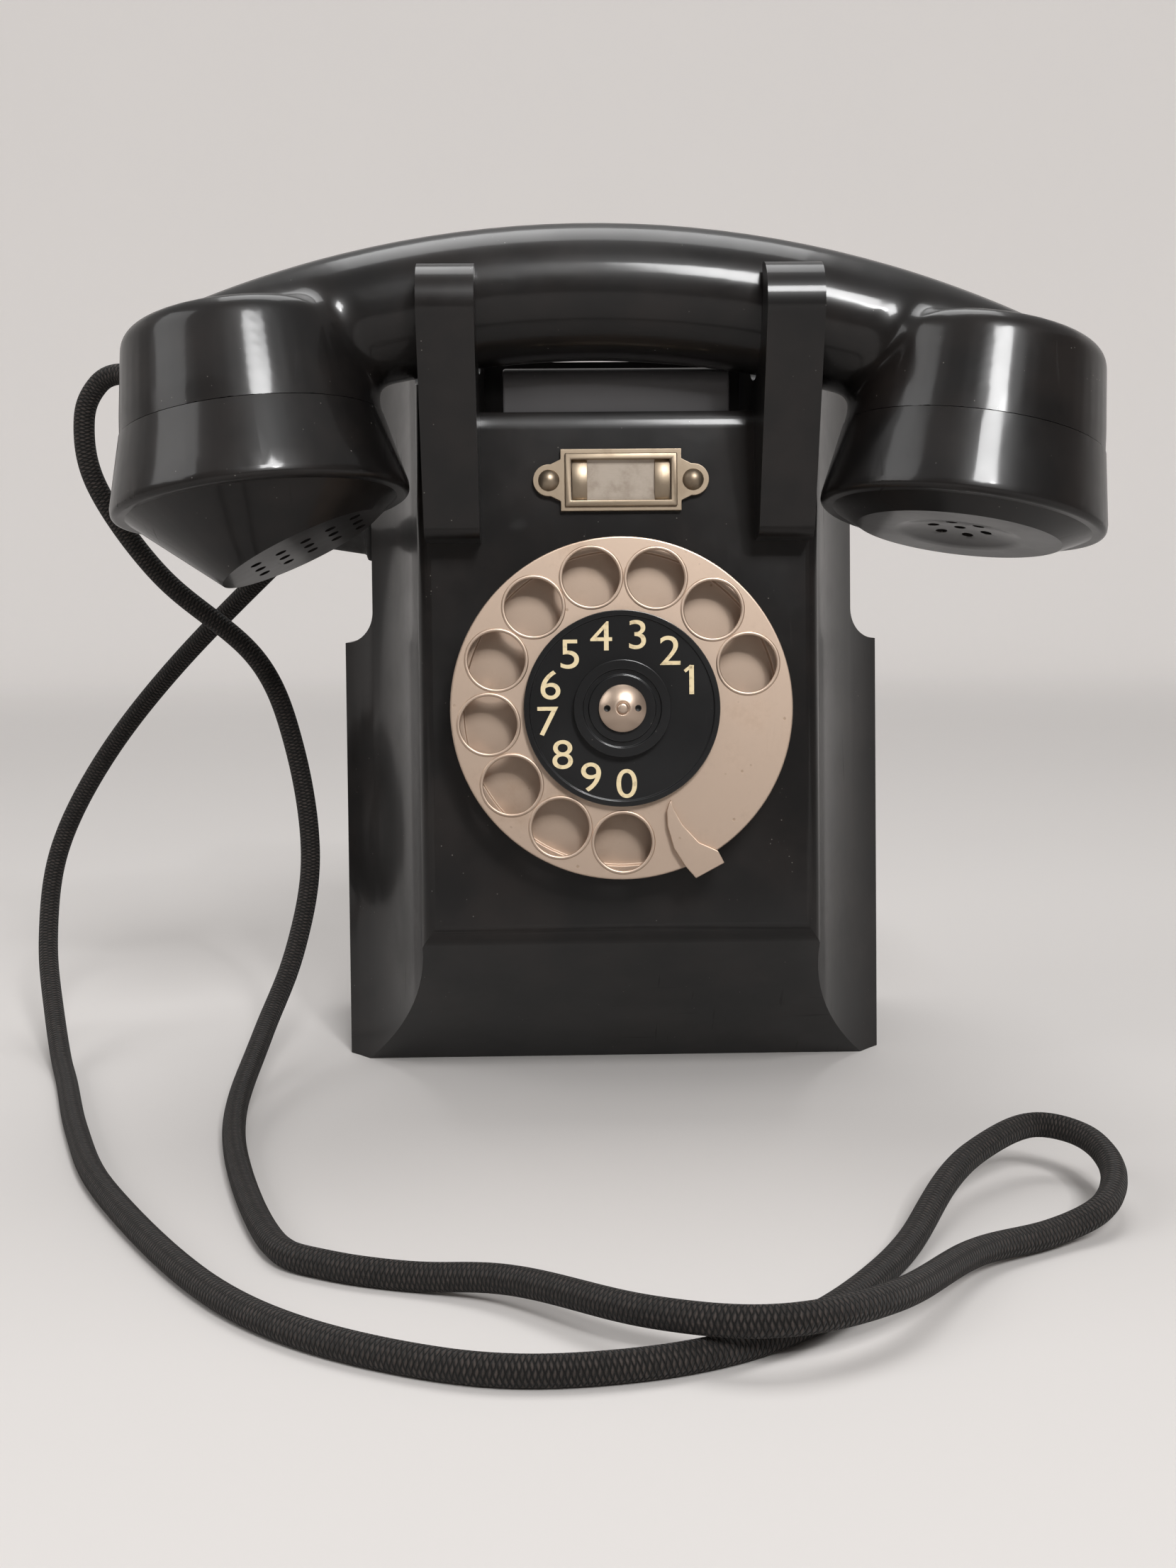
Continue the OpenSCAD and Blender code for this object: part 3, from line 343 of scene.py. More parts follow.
class Nodes:
    """Adds nodes to a shader tree and links them in reading order."""

    def __init__(self, tree):
        self.tree = tree

    def node(self, kind, inputs=None, **settings):
        made = self.tree.nodes.new("ShaderNode" + kind)
        for key, value in settings.items():
            setattr(made, key, value)
        for key, value in (inputs or {}).items():
            self.feed(made.inputs[key], value)
        return made

    def feed(self, socket, value):
        """Links a socket, or gives it a plain value."""
        if isinstance(value, bpy.types.NodeSocket):
            self.tree.links.new(value, socket)
        else:
            socket.default_value = value

    def noise(self, place, scale, detail=3.0, rough=0.5):
        inputs = {"Vector": place, "Scale": scale, "Detail": detail, "Roughness": rough}
        return self.node("TexNoise", inputs).outputs["Fac"]

    def spread(self, value, low, high, to_low=0.0, to_high=1.0):
        inputs = {"Value": value, 1: low, 2: high, 3: to_low, 4: to_high}
        return self.node("MapRange", inputs, interpolation_type="SMOOTHSTEP").outputs["Result"]

    def maths(self, operation, first, second=0.0):
        return self.node("Math", {0: first, 1: second}, operation=operation).outputs["Value"]

    def times(self, first, second):
        return self.maths("MULTIPLY", first, second)

    def reach(self, x, y):
        """The distance of a point in the plane from the middle."""
        flat = self.node("CombineXYZ", {"X": x, "Y": y}).outputs["Vector"]
        return self.node("VectorMath", {0: flat}, operation="LENGTH").outputs["Value"]

    def blend(self, share, first, second):
        inputs = {0: share, 6: first, 7: second}
        return self.node("Mix", inputs, data_type="RGBA").outputs[2]

    def stretch(self, place, scale, turn=(0, 0, 0), move=(0, 0, 0)):
        inputs = {"Vector": place, "Scale": scale, "Rotation": turn, "Location": move}
        return self.node("Mapping", inputs).outputs["Vector"]

    def within(self, place, axes):
        """A place as seen in the axes of a matrix."""
        inverse = axes.inverted()
        return self.stretch(place, (1, 1, 1), inverse.to_euler(), inverse.translation)

    def group(self, tree, **inputs):
        made = self.tree.nodes.new("ShaderNodeGroup")
        made.node_tree = tree
        for key, value in inputs.items():
            self.feed(made.inputs[key], value)
        return made.outputs


class Finish(Nodes):
    """A material with a Principled shader and the piece's own coordinates."""

    def __init__(self, name):
        self.material = bpy.data.materials.new(name)
        self.material.use_nodes = True
        super().__init__(self.material.node_tree)
        self.shader = self.tree.nodes["Principled BSDF"]
        self.place = self.node("TexCoord").outputs["Object"]

    def set(self, **inputs):
        for key, value in inputs.items():
            self.feed(self.shader.inputs[key.replace("_", " ").title().replace("Ior", "IOR")], value)
        return self.material

    def bump(self, height, distance, strength=1.0):
        inputs = {"Height": height, "Distance": distance, "Strength": strength}
        self.tree.links.new(self.node("Bump", inputs).outputs["Normal"], self.shader.inputs["Normal"])


def shader_group(name, inputs, outputs):
    """A node group with named sockets: its builder, its inputs and its output node."""
    tree = bpy.data.node_groups.new(name, "ShaderNodeTree")
    for socket, kind in inputs:
        tree.interface.new_socket(socket, in_out="INPUT", socket_type="NodeSocket" + kind)
    for socket in outputs:
        tree.interface.new_socket(socket, in_out="OUTPUT", socket_type="NodeSocketFloat")
    builder = Nodes(tree)
    return builder, tree.nodes.new("NodeGroupInput").outputs, tree.nodes.new("NodeGroupOutput").inputs


def handling_group():
    """Marks of handling: cloudy polish, hair scratches and specks of dust."""
    b, given, out = shader_group(
        "handling", [("Place", "Vector"), ("Scale", "Float")], ["Cloud", "Scratch", "Dust"]
    )
    place = b.node("VectorMath", {0: given["Place"], "Scale": given["Scale"]}, operation="SCALE").outputs[0]
    cloud = b.spread(b.noise(place, 1.0, 5.0, 0.6), 0.3, 0.72)
    hair = b.noise(b.stretch(place, (38, 1.5, 2.5), (0.3, 0.9, 0.5)), 1.0, 2.0)
    cross = b.noise(b.stretch(place, (2, 45, 1.5), (1.1, 0.2, -0.7)), 1.0, 2.0)
    lines = b.maths("MAXIMUM", b.spread(hair, 0.69, 0.75), b.spread(cross, 0.7, 0.76))
    patch = b.spread(b.noise(place, 2.3, 2.0), 0.46, 0.62)
    specks = b.node("TexVoronoi", {"Vector": place, "Scale": 26.0}).outputs["Distance"]
    speck = b.times(b.spread(specks, 0.1, 0.05), b.spread(b.noise(place, 9.0, 2.0), 0.58, 0.66))
    for name, value in (("Cloud", cloud), ("Scratch", b.times(lines, patch)), ("Dust", speck)):
        b.tree.links.new(value, out[name])
    return b.tree


def lathe_group():
    """Fine rings of a turned or brushed round piece, about the z axis of the given place."""
    b, given, out = shader_group("lathe_rings", [("Place", "Vector"), ("Pitch", "Float")], ["Rings"])
    parts = b.node("SeparateXYZ", {"Vector": given["Place"]}).outputs
    turns = b.maths("DIVIDE", b.reach(parts["X"], parts["Y"]), given["Pitch"])
    row = b.node("CombineXYZ", {"X": turns}).outputs["Vector"]
    b.tree.links.new(b.noise(row, 1.0, 4.0, 0.7), out["Rings"])
    return b.tree


def age_group():
    """Age of plated metal: brown stains and small pits."""
    b, given, out = shader_group("metal_age", [("Place", "Vector"), ("Scale", "Float")], ["Stain", "Pit"])
    place = b.node("VectorMath", {0: given["Place"], "Scale": given["Scale"]}, operation="SCALE").outputs[0]
    stain = b.spread(b.noise(place, 1.0, 6.0, 0.65), 0.5, 0.78)
    pits = b.node("TexVoronoi", {"Vector": place, "Scale": 7.0}).outputs["Distance"]
    pit = b.times(b.spread(pits, 0.16, 0.07), b.spread(b.noise(place, 3.0, 2.0), 0.55, 0.66))
    b.tree.links.new(stain, out["Stain"])
    b.tree.links.new(pit, out["Pit"])
    return b.tree


def rgba(value, share=1.0):
    """A colour for a socket, or a share of it."""
    return (*(share * part for part in value), 1.0)


class Finishes:
    """All finishes of the telephone, each made when it is first asked for."""

    def __init__(self, colours):
        self.colours = colours
        self.handling, self.lathe, self.age = handling_group(), lathe_group(), age_group()
        self.made = {}

    def __getitem__(self, name):
        if name not in self.made:
            self.made[name] = getattr(self, name)()
        return self.made[name]

    def moulding(self, name, base, worn, low, high):
        """Black moulded surface, polished and dulled by hands."""
        f = Finish(name)
        marks = f.group(self.handling, Place=f.place, Scale=22.0)
        tone = f.blend(f.spread(f.noise(f.place, 60.0, 4.0), 0.35, 0.75), rgba(base), rgba(worn))
        dusty = f.blend(f.times(marks["Dust"], 0.5), tone, (0.3, 0.28, 0.26, 1))
        dull = f.spread(marks["Cloud"], 0.0, 1.0, low, high)
        rough = f.maths("ADD", dull, f.times(marks["Scratch"], 0.16))
        ripple = f.noise(f.place, 42.0, 1.0)
        f.bump(f.maths("ADD", ripple, f.times(marks["Scratch"], -0.12)), 0.12 * MM, 0.35)
        f.set(specular_ior_level=0.3, coat_weight=0.55, coat_roughness=0.12)
        return f.set(base_color=dusty, roughness=rough)

    def bakelite(self):
        return self.moulding("bakelite", self.colours.bakelite, self.colours.bakelite_worn, 0.28, 0.42)

    def ebonite(self):
        """Moulding of the cradle bar, painted greyer than the case's to stand in for light that the handset keeps
        off it.
        """
        return self.moulding("ebonite", self.colours.ebonite, self.colours.ebonite, 0.34, 0.44)

    def enamel(self):
        return self.moulding("enamel", self.colours.enamel, self.colours.enamel, 0.3, 0.42)

    def rubber(self):
        f = Finish("rubber")
        skin = f.noise(f.place, 900.0, 3.0)
        f.bump(skin, 0.1 * MM, 0.4)
        tone = f.blend(f.noise(f.place, 120.0), rgba(self.colours.rubber), (0.03, 0.028, 0.027, 1))
        return f.set(base_color=tone, roughness=f.spread(skin, 0.2, 0.8, 0.5, 0.72))

    def plated(self, name, base, stain, axes, pitch, rough):
        """Plated metal with its turning marks, brown with age."""
        f = Finish(name)
        age = f.group(self.age, Place=f.place, Scale=48.0)
        marks = f.group(self.handling, Place=f.place, Scale=30.0)
        rings = f.group(self.lathe, Place=f.within(f.place, axes), Pitch=pitch)["Rings"]
        dirt = f.maths("MAXIMUM", f.times(age["Stain"], 0.75), f.times(age["Pit"], 0.8))
        tone = f.blend(dirt, rgba(base), rgba(stain))
        turned = f.spread(rings, 0.2, 0.8, rough - 0.05, rough + 0.06)
        worn = f.maths("ADD", turned, f.times(dirt, 0.18))
        height = f.maths("ADD", f.times(rings, 0.5), f.times(marks["Scratch"], -0.5))
        f.bump(f.maths("SUBTRACT", height, age["Pit"]), 0.03 * MM, 0.3)
        return f.set(base_color=tone, roughness=worn, metallic=0.92)

    def nickel(self):
        c = self.colours
        return self.plated("nickel", c.nickel, c.nickel_stain, DIAL, 0.22 * MM, 0.42)

    def nut_nickel(self):
        """The dial's nickel, near-black and not metallic inside the two spanner holes of the nut."""
        c = self.colours
        material = self.plated("nut_nickel", c.nickel, c.nickel_stain, DIAL, 0.22 * MM, 0.36)
        f = Nodes(material.node_tree)
        shader = f.tree.nodes["Principled BSDF"]
        place = f.within(f.node("TexCoord").outputs["Object"], DIAL)
        local = f.node("SeparateXYZ", {"Vector": place}).outputs
        across = f.maths("SUBTRACT", f.maths("ABSOLUTE", local["X"]), NUT_HOLES)
        # Near-black and not metallic inside the two spanner holes
        spanner_hole_black = f.spread(f.reach(across, local["Y"]), 0.82 * MM, 0.66 * MM)
        clean = shader.inputs["Base Color"].links[0].from_socket
        f.tree.links.new(f.blend(spanner_hole_black, clean, (0.008, 0.006, 0.005, 1)), shader.inputs["Base Color"])
        f.tree.links.new(f.spread(spanner_hole_black, 0.0, 1.0, 0.92, 0.0), shader.inputs["Metallic"])
        return material

    def dish(self):
        c = self.colours
        shaded = rgba(c.nickel, 0.76)[:3]
        return self.plated("dish_nickel", shaded, c.nickel_stain, DIAL, 0.3 * MM, 0.46)

    def card_metal(self):
        c = self.colours
        return self.plated("card_metal", c.card_metal, c.card_metal_dark, CARD, 0.5 * MM, 0.4)

    def steel(self):
        return self.plated("zinc_steel", (0.47, 0.47, 0.46), (0.3, 0.28, 0.25), Matrix(), 0.6 * MM, 0.4)

    def spring_steel(self):
        return self.plated("spring_steel", (0.16, 0.17, 0.2), (0.1, 0.07, 0.05), Matrix(), 0.3 * MM, 0.34)

    def brass(self):
        return self.plated("brass", (0.55, 0.4, 0.15), (0.26, 0.16, 0.06), Matrix(), 0.4 * MM, 0.33)

    def magnet(self):
        return self.plated("magnet_steel", (0.11, 0.11, 0.12), (0.07, 0.05, 0.04), Matrix(), 1.0 * MM, 0.5)

    def can(self):
        return self.plated("tinned_can", (0.42, 0.43, 0.42), (0.25, 0.23, 0.2), Matrix(), 0.8 * MM, 0.36)

    def capsule(self):
        return self.plated("spun_can", (0.5, 0.5, 0.47), (0.3, 0.28, 0.25), Matrix(), 0.5 * MM, 0.38)

    def contacts(self):
        return self.moulding("contact_pile", (0.21, 0.09, 0.025), (0.3, 0.15, 0.05), 0.35, 0.5)

    def phenolic(self):
        return self.moulding("terminal_phenolic", (0.03, 0.02, 0.015), (0.05, 0.035, 0.025), 0.4, 0.6)

    def winding(self):
        """Coils of enamelled wire under varnish."""
        f = Finish("winding")
        turns = f.node("TexWave", {"Vector": f.place, "Scale": 420.0, "Distortion": 0.6}).outputs["Fac"]
        tone = f.blend(turns, (0.07, 0.022, 0.008, 1), (0.22, 0.08, 0.03, 1))
        f.bump(turns, 0.2 * MM, 0.6)
        return f.set(base_color=tone, roughness=f.spread(turns, 0.0, 1.0, 0.5, 0.32), metallic=0.3)

    def paper(self):
        """Yellowed card with fibres, bare."""
        f = Finish("card")
        fibre = f.noise(f.stretch(f.place, (700, 700, 2600)), 1.0, 4.0)
        stain = f.spread(f.noise(f.place, 150.0, 5.0, 0.65), 0.42, 0.7)
        tone = f.blend(f.times(stain, 0.7), rgba(self.colours.paper), rgba(self.colours.paper_stain))
        tone = f.blend(f.times(fibre, 0.15), tone, (0.3, 0.25, 0.2, 1))
        f.bump(fibre, 0.04 * MM, 0.5)
        return f.set(base_color=tone, roughness=f.spread(fibre, 0.2, 0.8, 0.75, 0.9))

    def digit(self):
        """Cream paint with worn spots."""
        f = Finish("digit_paint")
        wear = f.spread(f.noise(f.place, 900.0, 4.0), 0.5, 0.75)
        tone = f.blend(f.times(wear, 0.5), rgba(self.colours.digit), (0.36, 0.25, 0.12, 1))
        return f.set(base_color=tone, roughness=f.spread(wear, 0.0, 1.0, 0.4, 0.6))

    def braid(self):
        """Two sets of yarns that cross over and under each other round the cord."""
        f = Finish("braid")
        stitches, yarns = 17.0, 6.0
        uv = f.node("SeparateXYZ", {"Vector": f.node("UVMap", uv_map="along").outputs["UV"]}).outputs
        along, around = f.times(uv["X"], stitches), f.times(uv["Y"], yarns)
        right, left = f.maths("ADD", along, around), f.maths("SUBTRACT", along, around)
        right_row, left_row = f.maths("FLOOR", right), f.maths("FLOOR", left)
        over = f.maths("PINGPONG", f.maths("ADD", right_row, left_row), 1.0)

        def hill(x, power):
            """A bump over each whole step, from nothing to one."""
            off = f.maths("ABSOLUTE", f.maths("SUBTRACT", f.times(f.maths("FRACT", x), 2.0), 1.0))
            return f.maths("SUBTRACT", 1.0, f.maths("POWER", off, power))

        right_on_top = f.times(hill(right, 4.0), hill(left, 2.0))
        left_on_top = f.times(hill(left, 4.0), hill(right, 2.0))
        height = f.node("Mix", {0: over, 2: right_on_top, 3: left_on_top}, data_type="FLOAT").outputs[0]
        ids = f.node("CombineXYZ", {"X": right_row, "Y": left_row}).outputs["Vector"]
        chance = f.node("TexWhiteNoise", {"Vector": ids}, noise_dimensions="2D").outputs["Value"]
        # Pale yarns by chance, and every yarn lighter on its crown as a painted highlight
        fleck_and_crown_highlight = f.times(f.spread(chance, 0.0, 1.0, 0.45, 1.0), f.spread(height, 0.35, 0.95))
        fuzz = f.noise(f.place, 2600.0, 3.0)
        tone = f.blend(fleck_and_crown_highlight, rgba(self.colours.braid), rgba(self.colours.braid_fleck))
        # Painted shade: the yarns darken towards near-black down in the crevices between them
        painted_crevice_shade = f.times(f.maths("SUBTRACT", 1.0, height), 0.8)
        tone = f.blend(painted_crevice_shade, tone, (0.004, 0.0035, 0.003, 1))
        f.bump(f.maths("ADD", height, f.times(fuzz, 0.25)), 0.35 * MM, 0.9)
        f.set(sheen_weight=0.06, sheen_roughness=0.5, specular_ior_level=0.3)
        return f.set(base_color=tone, roughness=f.spread(fuzz, 0.2, 0.8, 0.62, 0.82))

    def floor(self):
        """Plain floor in the light floor colour, running up into the backdrop, made to glow though it is no lamp,
        and painted dark in mirror reflections.
        """
        f = Finish("floor")
        tone = f.blend(f.noise(f.place, 3.0, 2.0), rgba(self.colours.floor), rgba(self.colours.floor, 0.98))
        spot = f.node("SeparateXYZ", {"Vector": f.place}).outputs
        path = f.node("LightPath").outputs
        mirrored = f.maths("MAXIMUM", path["Is Glossy Ray"], path["Is Transmission Ray"])
        # Painted light: the floor glows for the camera, more the farther it lies from the middle
        far_glow = f.spread(f.reach(spot["X"], spot["Y"]), 0.2, 2.6, 0.0, BACKDROP_GLOW)
        seen = f.times(path["Is Camera Ray"], far_glow)
        # Painted light: in mirror reflections the floor glows, more towards the back
        behind = f.times(mirrored, f.spread(spot["Y"], -0.15, 1.3, 0.0, BACKDROP_GLOW))
        glow = f.maths("MAXIMUM", seen, behind)
        # Painted dark reflection: in mirror reflections the floor's colour is darkened towards near-black
        shaded = f.blend(f.times(mirrored, 0.6), tone, (0.1, 0.097, 0.095, 1))
        return f.set(base_color=shaded, roughness=0.85, emission_color=tone, emission_strength=glow)


FINISHES = {}


def finishes():
    """The finishes in the colours of the scene's settings."""
    if "all" not in FINISHES:
        FINISHES["all"] = Finishes(bpy.context.scene.telephone_colours)
    return FINISHES["all"]


# Pieces


class TELEPHONE_OT_case(Operator):
    """Case moulding with its horns, and the cradle bar"""

    bl_idname = "telephone.case"
    bl_label = "Case"

    def execute(self, context):
        edge = context.scene.telephone_sizes.moulding_edge
        eased("case_shell", "case_moulding", edge, finishes()["bakelite"])
        # Painted light: the cradle bar gets the lighter copy of the moulding
        eased("cradle_bar", "cradle_bar_moulding", edge, finishes()["ebonite"])
        return {"FINISHED"}


class TELEPHONE_OT_card(Operator):
    """Card holder with its tabs, its rivets and the bare card"""

    bl_idname = "telephone.card"
    bl_label = "Card holder"

    def execute(self, context):
        edge = context.scene.telephone_sizes.metal_edge
        metal = finishes()["card_metal"]
        eased("card_frame", "card_holder", edge, metal)
        eased("card_rivets", "card_rivet_heads", edge, metal)
        eased("card_paper", "card", PAPER_EDGE, finishes()["paper"])
        self.lip(metal)
        for side, name in ((-1, "card_strap_left"), (1, "card_strap_right")):
            self.strap(side, name, metal)
        return {"FINISHED"}

    def lip(self, metal):
        """The raised border of the window."""
        deselect()
        bpy.ops.mesh.primitive_cube_add(size=1, location=(0, 0, LIP_AT), scale=LIP_SIZE)
        lip = added("card_lip")
        bpy.ops.object.transform_apply(location=True, rotation=False, scale=True)
        pick_faces(lip, lambda face: abs(face.normal.z) > FACING)
        bpy.ops.mesh.inset(thickness=LIP_BORDER)
        bpy.ops.mesh.bridge_edge_loops()
        bpy.ops.mesh.select_all(action="SELECT")
        bpy.ops.mesh.normals_make_consistent(inside=False)
        bpy.ops.object.mode_set(mode="OBJECT")
        modify(lip, "BEVEL", width=LIP_EDGE, segments=3, limit_method="ANGLE")
        self.fix(lip, metal)

    def strap(self, side, name, metal):
        """A bowed strap that holds one end of the card down."""
        deselect()
        bpy.ops.mesh.primitive_cylinder_add(
            vertices=192, radius=STRAP_BOW, depth=STRAP_BREADTH,
            location=(side * STRAP_OUT, 0, STRAP_TOP - STRAP_BOW), rotation=(0, math.pi / 2, 0),
        )
        strap = added(name)
        bpy.ops.object.transform_apply(location=True, rotation=True, scale=False)
        bpy.ops.object.mode_set(mode="EDIT")
        bpy.ops.mesh.select_all(action="SELECT")
        bpy.ops.mesh.bisect(
            plane_co=(0, 0, STRAP_FOOT), plane_no=(0, 0, -1), use_fill=True, clear_outer=True
        )
        bpy.ops.object.mode_set(mode="OBJECT")
        modify(strap, "BEVEL", width=STRAP_EDGE, segments=2, limit_method="ANGLE")
        self.fix(strap, metal)

    def fix(self, piece, metal):
        """Puts a piece of the holder on the face."""
        smooth(piece)
        settle(piece, CARD)
        dress(piece, metal, "case")
        SLOT_OF["card_frame"]


class TELEPHONE_OT_dial(Operator):
    """Finger wheel with its rims, dish, stop, number disc, numbers, cap and nut"""

    bl_idname = "telephone.dial"
    bl_label = "Dial"

    def execute(self, context):
        sizes = context.scene.telephone_sizes
        edge, nickel = sizes.metal_edge, finishes()["nickel"]
        eased("finger_wheel", "finger_wheel_plate", edge * 1.6, nickel)
        eased("finger_stop", "finger_stop_blade", edge, nickel)
        eased("dial_dish", "dial_dish_bowl", edge, finishes()["dish"])
        eased("number_disc", "number_disc_plate", edge, finishes()["enamel"])
        eased("dial_cap", "dial_cap_disc", edge, finishes()["enamel"])
        self.nut(edge * 0.4, finishes()["nut_nickel"])
        self.rims(sizes.rim_r, nickel)
        self.numbers(sizes)
        return {"FINISHED"}

    def nut(self, edge, nickel):
        """The domed nut, with the end of the shaft in a well in its middle."""
        nut = carved("dial_nut", "dial_nut_dome")
        deselect()
        bpy.ops.mesh.primitive_cylinder_add(
            vertices=ROUND, radius=WELL_R, depth=WELL_H, location=(0, 0, WELL_AT)
        )
        well = settle(added("nut_well"), DIAL)
        modify(nut, "BOOLEAN", operation="DIFFERENCE", object=well, solver="EXACT")
        bpy.data.objects.remove(well)
        modify(nut, "BEVEL", width=edge, segments=2, limit_method="ANGLE", angle_limit=math.radians(32))
        smooth(nut)
        dress(nut, nickel, "dial", "dial_nut")
        deselect()
        bpy.ops.mesh.primitive_cylinder_add(
            vertices=ROUND, radius=TIP_R, depth=TIP_H, location=(0, 0, TIP_AT)
        )
        tip = added("dial_shaft_tip")
        bpy.ops.object.transform_apply(location=True, rotation=False, scale=False)
        pick_faces(tip, lambda face: face.normal.z > FACING)
        bpy.ops.mesh.bevel(offset=TIP_ROUND, segments=5, affect="EDGES")
        bpy.ops.object.mode_set(mode="OBJECT")
        smooth(tip, 40)
        settle(tip, DIAL)
        dress(tip, nickel, "dial")
        SLOT_OF["dial_nut"]

    def rims(self, rim_r, nickel):
        """A raised rim round each finger hole."""
        deselect()
        made = []
        for i in range(len(DIGITS)):
            angle = math.radians(FIRST_HOLE + i * HOLE_PITCH)
            centre = (HOLE_RING * math.cos(angle), HOLE_RING * math.sin(angle), WHEEL_TOP)
            bpy.ops.mesh.primitive_torus_add(
                location=centre, major_radius=HOLE_R + rim_r * RIM_OUT, minor_radius=rim_r,
                major_segments=64, minor_segments=10,
            )
            made.append(bpy.context.object)
        for rim in made:
            rim.select_set(True)
        bpy.ops.object.transform_apply(location=True, rotation=True, scale=True)
        bpy.ops.object.join()
        rims = added("finger_hole_rims")
        bpy.ops.object.mode_set(mode="EDIT")
        bpy.ops.mesh.select_all(action="SELECT")
        bpy.ops.transform.resize(value=(1, 1, RIM_FLATNESS), center_override=(0, 0, WHEEL_TOP))
        bpy.ops.object.mode_set(mode="OBJECT")
        smooth(rims, 60)
        settle(rims, DIAL)
        dress(rims, nickel, "dial")
        SLOT_OF["finger_wheel"]

    def numbers(self, sizes):
        """The numbers, upright, each a little past the ray of its finger hole."""
        paint, ring = finishes()["digit"], sizes.digit_ring
        for i, digit in enumerate(DIGITS):
            angle = math.radians(FIRST_HOLE + NUMBER_TURN + i * HOLE_PITCH)
            deselect()
            bpy.ops.object.text_add()
            text = bpy.context.object
            text.data.body = digit
            text.data.extrude = NUMBER_RELIEF
            bpy.ops.object.convert(target="MESH")
            number = added("number_" + digit)
            self.fit(number, sizes.digit_h)
            if digit == "1":
                number = self.flag(number, sizes.digit_h)
            here = (ring * math.cos(angle), ring * math.sin(angle), DISC_TOP + NUMBER_LIFT)
            settle(number, DIAL @ Matrix.Translation(here))
            dress(number, paint, "dial")
            SLOT_OF["number_disc"]

    def flag(self, number, height):
        """Gives the one its slanted flag."""
        deselect()
        thick = number.dimensions.z
        bpy.ops.mesh.primitive_cube_add(
            size=1, location=(FLAG_AT[0] * height, FLAG_AT[1] * height, 0), rotation=(0, 0, FLAG_TURN),
            scale=(FLAG_SIZE[0] * height, FLAG_SIZE[1] * height, thick),
        )
        flag = bpy.context.object
        bpy.ops.object.transform_apply(location=True, rotation=True, scale=True)
        take(number)
        flag.select_set(True)
        bpy.ops.object.join()
        return number

    def fit(self, number, height):
        """Centres a number on the origin and gives it its height and breadth."""
        corners = [Vector(c) for c in number.bound_box]
        low = Vector(min(c[i] for c in corners) for i in range(3))
        high = Vector(max(c[i] for c in corners) for i in range(3))
        scale = height / (high.y - low.y)
        broad = Matrix.Diagonal((NUMBER_BREADTH * scale, scale, scale, 1))
        number.data.transform(broad @ Matrix.Translation(-(low + high) / 2))


class TELEPHONE_OT_handset(Operator):
    """Grip that flows into its two cups, the mouth and ear caps and the cord's sleeve"""

    bl_idname = "telephone.handset"
    bl_label = "Handset"

    def execute(self, context):
        sizes = context.scene.telephone_sizes
        bakelite = finishes()["bakelite"]
        self.grip(sizes, bakelite)
        eased("mouth_cap", "mouthpiece", sizes.moulding_edge, bakelite, segments=3, angle=CAP_ANGLE)
        eased("ear_cap", "earpiece", sizes.moulding_edge, bakelite, segments=3, angle=CAP_ANGLE)
        eased("handset_gland", "handset_sleeve", sizes.moulding_edge, finishes()["rubber"])
        return {"FINISHED"}

    def grip(self, sizes, bakelite):
        """The handle and its cups as one skin, with the hollow corners between them filled."""
        grip = carved("handset_grip", "handset_moulding")
        for cup in CUPS:
            self.lengthen(grip, cup)
        modify(grip, "REMESH", mode="VOXEL", voxel_size=sizes.grip_voxel)
        modify(grip, "SMOOTH", factor=0.5, iterations=6)
        self.mark_hollows(grip)
        modify(grip, "SMOOTH", factor=0.5, iterations=sizes.fillet_steps, vertex_group="hollows")
        for cup in CUPS:
            self.trim(grip, cup)
        smooth(grip, 60)
        dress(grip, bakelite, "handset", "handset_grip")

    def mark_hollows(self, grip):
        """Puts the hollow corners and what lies round them in a vertex group with soft borders."""
        hollows = grip.vertex_groups.new(name="hollows")
        shape = bmesh.new()
        shape.from_mesh(grip.data)
        for vertex in shape.verts:
            ring = [edge.other_vert(vertex).co for edge in vertex.link_edges]
            rise = (sum(ring, Vector()) / len(ring) - vertex.co).dot(vertex.normal)
            if rise > HOLLOW:
                hollows.add([vertex.index], 1.0, "REPLACE")
        shape.free()
        take(grip)
        bpy.ops.object.mode_set(mode="EDIT")
        bpy.ops.mesh.select_all(action="SELECT")
        bpy.ops.object.vertex_group_smooth(group_select_mode="ACTIVE", factor=1.0, repeat=14, expand=0.7)
        bpy.ops.object.mode_set(mode="OBJECT")

    def lengthen(self, grip, cup):
        """Draws the rim of a cup down past its seam."""
        inside = cup.inverted()
        for vertex in grip.data.vertices:
            here = inside @ vertex.co
            if abs(here.z) < RIM_NEAR and here.xy.length < CUP_REACH:
                here.z -= RIM_DRAW
                vertex.co = cup @ here

    def trim(self, grip, cup):
        """Cuts a cup off flat at its seam, a hair above its cap."""
        inside = cup.inverted()

        def near_seam(face):
            here = inside @ face.calc_center_median()
            return here.z < CUP_FOOT and here.xy.length < CUP_REACH

        pick_faces(grip, near_seam)
        seam = cup @ Vector((0, 0, SEAM_GAP))
        down = -(cup.to_3x3() @ Vector((0, 0, 1)))
        bpy.ops.mesh.bisect(plane_co=seam, plane_no=down, use_fill=True, clear_outer=True)
        bpy.ops.object.mode_set(mode="OBJECT")


